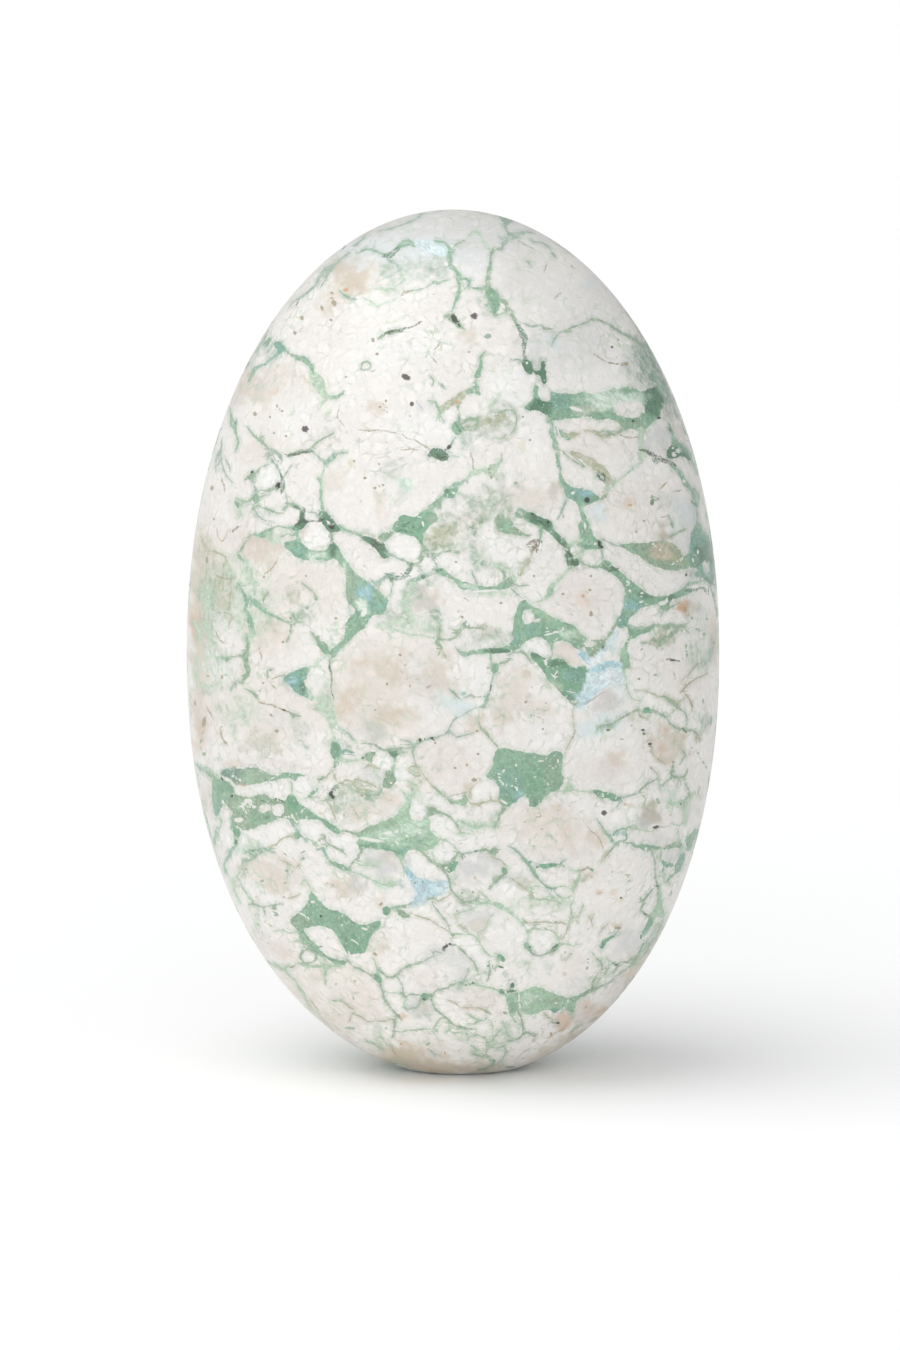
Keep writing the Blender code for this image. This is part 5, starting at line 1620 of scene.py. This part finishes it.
def spread(value, low, high):
    """Stretches a 0 to 1 value over another range."""
    step = tree.nodes.new("ShaderNodeMapRange")
    put(value, step.inputs["Value"])
    step.inputs["To Min"].default_value = low
    step.inputs["To Max"].default_value = high
    return step.outputs["Result"]


def blend(share, first, second):
    step = tree.nodes.new("ShaderNodeMix")
    step.data_type = "RGBA"
    put(share, step.inputs[0])
    put((*first, 1.0) if isinstance(first, tuple) else first, step.inputs[6])
    put((*second, 1.0) if isinstance(second, tuple) else second, step.inputs[7])
    return step.outputs[2]


def tone_of(name):
    return tuple(float(v) for v in linear(TONES[name]))


def layer(name, output):
    step = tree.nodes.new("ShaderNodeAttribute")
    step.attribute_name = name
    return step.outputs[output]


def parts(vector):
    step = tree.nodes.new("ShaderNodeSeparateXYZ")
    tree.links.new(vector, step.inputs[0])
    return step.outputs


# %% [markdown]
# ## Grain and clouds
#
# Every border in the stone wanders a little, and the pale rock is never one flat colour. A few noises
# on the stone's own millimetres give both. Object coordinates keep them fixed to the stone from
# every side.

# %% Noises in millimetres
coordinates = tree.nodes.new("ShaderNodeTexCoord")
in_mm = tree.nodes.new("ShaderNodeVectorMath")
in_mm.operation = "SCALE"
in_mm.inputs["Scale"].default_value = 1000.0
tree.links.new(coordinates.outputs["Object"], in_mm.inputs[0])
on_stone = in_mm.outputs[0]


def noise(size_mm, detail=2.0, rough=0.5, shift=0.0, where=None, output="Fac"):
    """A noise whose patches are about that size across."""
    step = tree.nodes.new("ShaderNodeTexNoise")
    step.inputs["Scale"].default_value = 1.0 / size_mm
    step.inputs["Detail"].default_value = detail
    step.inputs["Roughness"].default_value = rough
    moved = tree.nodes.new("ShaderNodeVectorMath")
    moved.inputs[1].default_value = (shift, 1.7 * shift, -0.6 * shift)
    tree.links.new(where or on_stone, moved.inputs[0])
    tree.links.new(moved.outputs[0], step.inputs["Vector"])
    return step.outputs[output]


def wander(moving, amount):
    """A noise turned into a shift about nought, up to about that many millimetres either way."""
    return spread(moving, -2 * amount, 2 * amount)


print("noises run in millimetres")

# %% Bent cells
LARGE_BEND = 7.0
FINE_BEND = 1.3
bend = tree.nodes.new("ShaderNodeVectorMath")
bend.operation = "MULTIPLY_ADD"
tree.links.new(noise(9.0, 1.0, 0.5, 81.0, output="Color"), bend.inputs[0])
bend.inputs[1].default_value = (LARGE_BEND, LARGE_BEND, LARGE_BEND)
tree.links.new(on_stone, bend.inputs[2])
ripple = tree.nodes.new("ShaderNodeVectorMath")
ripple.operation = "MULTIPLY_ADD"
tree.links.new(noise(1.5, 2.0, 0.6, 87.0, output="Color"), ripple.inputs[0])
ripple.inputs[1].default_value = (FINE_BEND, FINE_BEND, FINE_BEND)
tree.links.new(bend.outputs[0], ripple.inputs[2])
bent = ripple.outputs[0]


def cells(size_mm, feature, seed):
    """Voronoi cells of about that size, in the bent rock."""
    step = tree.nodes.new("ShaderNodeTexVoronoi")
    step.feature = feature
    step.inputs["Scale"].default_value = 1.0 / size_mm
    moved = tree.nodes.new("ShaderNodeVectorMath")
    moved.inputs[1].default_value = (seed, -seed, 0.5 * seed)
    tree.links.new(bent, moved.inputs[0])
    tree.links.new(moved.outputs[0], step.inputs["Vector"])
    return step.outputs


print("cells are bent")

# %% [markdown]
# ## The front, as the photograph shows it
#
# The layers on the mesh become masks. A border is drawn where a distance passes its limit, with a
# little wander so that it breaks up like a real one. The pale rock is itself made of small white
# clumps with a thin grey-green veil between them, and the green is a mass of tiny crystals. The rock
# is also made a little paler toward the foot, in place of light that a bright table throws up.

# %% Grains
PAINTED_FOOT_LIGHT = 0.12
FOOT_TOP_MM = 44.0
FOOT_LOW_MM = 2.0
fine_wander = noise(0.62, 3.0, 0.55, 31.0)
broad_wander = noise(1.9, 2.0, 0.5, 37.0)
grain = noise(0.30, 2.0, 0.62, 3.1)
clouds = noise(5.5, 2.0, 0.55, 9.4)
lumpy = noise(1.3, 3.0, 0.62, 14.2)
mottle = noise(0.75, 4.0, 0.68, 21.0)
region = noise(7.0, 2.0, 0.55, 25.0)
shade = sums("ADD", spread(grain, 0.92, 1.08), spread(clouds, -0.07, 0.07))
shade = sums("ADD", shade, spread(lumpy, -0.14, 0.14))
level_mm = parts(on_stone)[2]
# Painted light: the rock is made up to this much paler toward the foot, standing in for light thrown up
# from below.
painted_foot_light = sums("MULTIPLY", border(level_mm, FOOT_TOP_MM, FOOT_LOW_MM), PAINTED_FOOT_LIGHT)
shade = sums("ADD", shade, painted_foot_light)


def shaded(colour, amount):
    step = tree.nodes.new("ShaderNodeVectorMath")
    step.operation = "SCALE"
    put(colour, step.inputs[0])
    put(amount, step.inputs["Scale"])
    return step.outputs[0]


# %% Clumps in the pale rock
CLUMP = 1.7
FINE_CLUMP = 0.62
CLUMP_VEIL_SHARE = 0.62
FINE_VEIL_SHARE = 0.42
PIN_SPACING = 2.6
PIN_SHARE = 0.45
clump_gap = sums("MULTIPLY", cells(CLUMP, "DISTANCE_TO_EDGE", 41.0)["Distance"], CLUMP)
fine_gap = sums("MULTIPLY", cells(FINE_CLUMP, "DISTANCE_TO_EDGE", 43.0)["Distance"], FINE_CLUMP)
clump_veil = sums("MULTIPLY", border(clump_gap, 0.30, 0.02), border(lumpy, 0.40, 0.66))
fine_veil = sums("MULTIPLY", border(fine_gap, 0.16, 0.0), border(mottle, 0.46, 0.72))
fine_part = sums("MULTIPLY", fine_veil, FINE_VEIL_SHARE)
veil = sums("ADD", sums("MULTIPLY", clump_veil, CLUMP_VEIL_SHARE), fine_part, clamp=True)
veil_strength = spread(border(region, 0.35, 0.66), 0.40, 1.0)
veil = sums("MULTIPLY", veil, veil_strength)
pin = cells(PIN_SPACING, "F1", 29.0)
pin_chance = parts(pin["Color"])[0]
pins = sums("MULTIPLY", border(pin["Distance"], 0.075, 0.04), border(pin_chance, 0.45, 0.55))


def pale_rock(colour):
    """The clumps, veil and pinholes of the pale rock over a tint."""
    veil_tone = blend(border(clouds, 0.48, 0.66), tone_of("veil"), tone_of("sage"))
    veiled = blend(veil, shaded(colour, shade), veil_tone)
    return blend(sums("MULTIPLY", pins, PIN_SHARE), veiled, tone_of("umberdark"))


# %% Crystals in the green
CRYSTAL = 0.42
crystal = cells(CRYSTAL, "F1", 61.0)
crystal_share, crumb_chance, _ = parts(crystal["Color"])
crumbs = sums("MULTIPLY", border(crystal["Distance"], 0.40, 0.18), border(crumb_chance, 0.66, 0.84))
pool_shade = sums("ADD", spread(mottle, 0.78, 1.22), spread(crystal_share, -0.16, 0.15))


def crystals(colour, crumb_strength):
    """Green with its crystals and the pale crumbs caught in it."""
    lit = shaded(colour, pool_shade)
    return blend(sums("MULTIPLY", crumbs, crumb_strength), lit, tone_of("islet"))


# %% Pale stone, with hazes
front = pale_rock(layer("stone_colour_and_painted_light", "Color"))
haze_amount = layer("haze", "Alpha")
haze_mask = sums("MULTIPLY", haze_amount, spread(border(mottle, 0.30, 0.66), 0.35, 1.25))
haze_between = sums("MULTIPLY", sums("MULTIPLY", clump_veil, 0.6), haze_amount)
haze_mask = sums("ADD", haze_mask, haze_between, clamp=True)
front = blend(haze_mask, front, crystals(layer("haze", "Color"), 0.35))

# %% Pools
EDGE_BLUR = 0.06
HALO_WIDTH = 0.75
pool_border = sums("ADD", layer("pool_edge", "Fac"), wander(fine_wander, 0.13))
pool_border = sums("ADD", pool_border, wander(broad_wander, 0.10))
pool_mask = border(pool_border, EDGE_BLUR, -EDGE_BLUR)
halo_patches = spread(border(mottle, 0.35, 0.65), 0.05, 0.42)
pool_halo = sums("MULTIPLY", border(pool_border, HALO_WIDTH, 0.0), halo_patches)
front = blend(pool_halo, front, layer("pool_colour", "Color"))
rim_crumbs = sums("ADD", 0.35, sums("MULTIPLY", border(pool_border, -0.7, 0.0), 0.5))
front = blend(pool_mask, front, crystals(layer("pool_colour", "Color"), rim_crumbs))

# %% Seams
FARTHEST_WANDER = 0.38
STAIN_BESIDE = 0.60


def seam_masks(name, wobble):
    """The seam itself, and the faint stain that it leaves beside it."""
    side, half, reach = parts(layer(name, "Vector"))
    moved = sums("ABSOLUTE", sums("ADD", side, wander(fine_wander, wobble)))
    breathing = sums("MULTIPLY", half, spread(lumpy, -0.1, 2.2))
    gap = sums("SUBTRACT", moved, breathing)
    near_enough = border(sums("SUBTRACT", reach, half), FARTHEST_WANDER, 0.24)
    line = sums("MULTIPLY", border(gap, EDGE_BLUR, -0.05), near_enough)
    beside = border(sums("SUBTRACT", reach, half), STAIN_BESIDE, 0.0)
    return line, beside


green_line, green_beside = seam_masks("green_seam", 0.07)
seam_green = layer("green_seam_colour", "Color")
beside_share = sums("MULTIPLY", green_beside, spread(border(mottle, 0.32, 0.68), 0.05, 0.45))
front = blend(beside_share, front, seam_green)
broken = spread(border(mottle, 0.38, 0.54), 0.45, 0.95)
front = blend(sums("MULTIPLY", green_line, broken), front, crystals(seam_green, 0.45))
dark_line = seam_masks("dark_seam", 0.05)[0]
beads = spread(border(grain, 0.38, 0.58), 0.25, 0.88)
front = blend(sums("MULTIPLY", dark_line, beads), front, layer("dark_seam_colour", "Color"))
green_mask = sums("MAXIMUM", green_line, dark_line)

# %% Specks
speck_x, speck_y, speck_gap = parts(layer("speck", "Vector"))
speck_squared = sums("ADD", sums("MULTIPLY", speck_x, speck_x), sums("MULTIPLY", speck_y, speck_y))
speck_radius = sums("SQRT", speck_squared)
speck_radius = sums("ADD", speck_radius, wander(grain, 0.28))
speck_mask = sums("MULTIPLY", border(speck_radius, 1.25, 0.75), border(speck_gap, 0.42, 0.30))
front = blend(sums("MULTIPLY", speck_mask, 0.9), front, layer("speck_colour", "Color"))
print("the front has its masks")

# %% [markdown]
# ## The sides and back, which the photograph doesn't show
#
# The rest of the stone is the same breccia. Cells of a Voronoi texture make the lumps, and their
# borders make the seams. The cells are bent by noise so that no border is straight, the seams swell
# and close again, and in some places the lumps give way to small crumbs in wide green.

# %% Lumps and crumbs
LARGE_LUMP = 10.5
SMALL_LUMP = 3.6
large_gap = sums("MULTIPLY", cells(LARGE_LUMP, "DISTANCE_TO_EDGE", 4.0)["Distance"], LARGE_LUMP)
small_gap = sums("MULTIPLY", cells(SMALL_LUMP, "DISTANCE_TO_EDGE", 11.0)["Distance"], SMALL_LUMP)

swell = noise(5.0, 2.0, 0.6, 91.0)
large_half = sums("ADD", sums("MULTIPLY", border(swell, 0.50, 0.78), 1.5), 0.05)
large_seam = border(sums("SUBTRACT", large_gap, large_half), EDGE_BLUR, -EDGE_BLUR)
crumbly = border(noise(13.0, 1.0, 0.5, 97.0), 0.46, 0.60)
small_half = sums("MULTIPLY", border(broad_wander, 0.36, 0.75), 0.42)
small_seam = sums("MULTIPLY", border(sums("SUBTRACT", small_gap, small_half), 0.05, -0.05), crumbly)
crumb_half = sums("MULTIPLY", border(region, 0.45, 0.80), 0.22)
crumb_seam = sums("MULTIPLY", border(sums("SUBTRACT", clump_gap, crumb_half), 0.04, -0.04), crumbly)
side_mask = sums("MAXIMUM", large_seam, sums("MAXIMUM", small_seam, sums("MULTIPLY", crumb_seam, 0.75)))

# %% Colours of the sides and back
lump_tone = parts(cells(LARGE_LUMP, "F1", 4.0)["Color"])[0]
small_tone = parts(cells(SMALL_LUMP, "F1", 11.0)["Color"])[1]
side_stone = blend(border(lump_tone, 0.15, 0.95), tone_of("chalk"), tone_of("cream"))
side_stone = blend(sums("MULTIPLY", border(small_tone, 0.5, 1.0), 0.45), side_stone, tone_of("grey"))
side_stone = blend(sums("MULTIPLY", border(clouds, 0.52, 0.75), 0.5), side_stone, tone_of("snow"))
side_stone = pale_rock(side_stone)
side_haze = sums("MULTIPLY", border(mottle, 0.42, 0.70), border(region, 0.45, 0.70))
side_stone = blend(sums("MULTIPLY", side_haze, 0.6), side_stone, tone_of("sage"))
side_green = blend(border(clouds, 0.35, 0.55), tone_of("deepjade"), tone_of("jade"))
side_green = blend(border(clouds, 0.52, 0.75), side_green, tone_of("palejade"))
side = blend(side_mask, side_stone, crystals(side_green, 0.5))
print("the sides and back have theirs")

# %% [markdown]
# ## Joining the two, and the polish
#
# The two patterns meet close to the outline, along a border that wanders with the lumps, so that the
# join doesn't show from the side. The polish is a fine one, and the green takes it a little better
# than the chalky lumps. A very slight unevenness softens its highlights.

# %% Colour and polish
BUMP_STRENGTH = 0.12
BUMP_DEPTH = 0.00005
joined_at = spread(border(region, 0.38, 0.62), 0.10, 0.85)
joined = border(sums("SUBTRACT", layer("in_picture", "Fac"), joined_at), -0.08, 0.08)
tree.links.new(blend(joined, side, front), shader.inputs["Base Color"])
front_green = sums("MULTIPLY", joined, sums("MAXIMUM", pool_mask, green_mask))
side_share = sums("SUBTRACT", 1.0, joined)
green_all = sums("ADD", front_green, sums("MULTIPLY", side_share, side_mask))
dull = sums("SUBTRACT", spread(lumpy, 0.28, 0.52), sums("MULTIPLY", green_all, 0.08))
tree.links.new(dull, shader.inputs["Roughness"])
bump = tree.nodes.new("ShaderNodeBump")
bump.inputs["Strength"].default_value = BUMP_STRENGTH
bump.inputs["Distance"].default_value = BUMP_DEPTH
tree.links.new(noise(0.9, 1.0, 0.5, 151.0), bump.inputs["Height"])
tree.links.new(bump.outputs["Normal"], shader.inputs["Normal"])
stone_mesh.materials.clear()
stone_mesh.materials.append(finish)
print("the finish has", len(tree.nodes), "nodes")

# %% The stone takes its place
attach(stone, "root")
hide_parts("variscite_stone")

# %% [markdown]
# ## Floor and light
#
# The photograph is a white studio shot with a soft shadow to the right of the foot. A large white
# floor gives the white ground, under a white world that is brighter to the front left. Two wide soft
# suns give the gentle shading across the stone and the shadow beside it: one high up on the left, and
# one low in front, which stands in for the light that the bright table throws on the stone's foot.

# %% Floor
FLOOR_HALF = 12.0
PAPER_WHITE = 0.93
PAPER_GLOW = 0.04
PAPER_TINT = (0.985, 0.992, 1.0, 1)
floor_skin = bmesh.new()
bmesh.ops.create_grid(floor_skin, x_segments=1, y_segments=1, size=FLOOR_HALF)
floor_mesh = bpy.data.meshes.new("studio_floor")
floor_skin.to_mesh(floor_mesh)
floor_skin.free()
floor = bpy.data.objects.new("studio_floor", floor_mesh)
bpy.context.scene.collection.objects.link(floor)
white = bpy.data.materials.new("white_paper")
white.use_nodes = True
paper = white.node_tree.nodes["Principled BSDF"]
paper.inputs["Base Color"].default_value = (PAPER_WHITE, PAPER_WHITE, PAPER_WHITE, 1)
paper.inputs["Roughness"].default_value = 1.0
paper.inputs["Specular IOR Level"].default_value = 0.0
paper.inputs["Emission Color"].default_value = PAPER_TINT
ray = white.node_tree.nodes.new("ShaderNodeLightPath")
glow = white.node_tree.nodes.new("ShaderNodeMath")
glow.operation = "MULTIPLY"
glow.inputs[1].default_value = PAPER_GLOW
white.node_tree.links.new(ray.outputs["Is Camera Ray"], glow.inputs[0])
white.node_tree.links.new(glow.outputs[0], paper.inputs["Emission Strength"])
floor_mesh.materials.append(white)

# %% The white world
BRIGHT_SIDE = (-0.40, -0.70, -0.15)
WALL_BRIGHTNESS = 0.75
WALL_CONTRAST = 0.38
WALL_TINT = (0.97, 0.985, 1.0, 1)
world = bpy.data.worlds.new("white studio")
bpy.context.scene.world = world
world.use_nodes = True
air = world.node_tree
background = air.nodes["Background"]
background.inputs["Color"].default_value = WALL_TINT
direction = air.nodes.new("ShaderNodeTexCoord")
toward = air.nodes.new("ShaderNodeVectorMath")
toward.operation = "DOT_PRODUCT"
toward.inputs[1].default_value = BRIGHT_SIDE
air.links.new(direction.outputs["Generated"], toward.inputs[0])
strength = air.nodes.new("ShaderNodeMath")
strength.operation = "MULTIPLY_ADD"
strength.inputs[1].default_value = WALL_CONTRAST
strength.inputs[2].default_value = WALL_BRIGHTNESS
air.links.new(toward.outputs["Value"], strength.inputs[0])
air.links.new(strength.outputs[0], background.inputs["Strength"])
print("the world is brighter to the front left")

# %% Two soft lamps
LAMP_TINT = (1.0, 0.985, 0.96)


def soft_lamp(name, energy, wide, comes_from):
    """A sun that looks that many degrees wide, from a direction seen from the stone."""
    lamp = bpy.data.lights.new(name, "SUN")
    lamp.energy = energy
    lamp.angle = math.radians(wide)
    lamp.color = LAMP_TINT
    placed = bpy.data.objects.new(name, lamp)
    placed.rotation_mode = "QUATERNION"
    placed.rotation_quaternion = Vector(comes_from).to_track_quat("Z", "Y")
    bpy.context.scene.collection.objects.link(placed)


soft_lamp("high_left_lamp", 1.04, 50, (-0.34, -0.12, 0.93))
soft_lamp("low_front_lamp", 0.90, 70, (-0.24, -0.95, 0.06))
bpy.context.scene.view_settings.view_transform = "Standard"
print("two soft lamps light the stone")

# %% [markdown]
# ## Camera
#
# The camera stands at the eye that the pattern was laid out from, so every seam falls on its place in
# the picture.

# %% Camera
FILM = 36.0
NEAR_LIMIT = 0.05
FAR_LIMIT = 40.0
camera_data = bpy.data.cameras.new("camera")
camera_data.sensor_width = FILM
camera_data.lens = FOCAL_PIXELS * FILM / PICTURE_HEIGHT
camera_data.clip_start = NEAR_LIMIT
camera_data.clip_end = FAR_LIMIT
camera = bpy.data.objects.new("camera", camera_data)
camera.location = eye
camera.rotation_euler = (math.pi / 2 - VIEW_ELEVATION, 0, 0)
bpy.context.scene.collection.objects.link(camera)
bpy.context.scene.camera = camera
print("the lens is", round(camera_data.lens, 1), "mm")
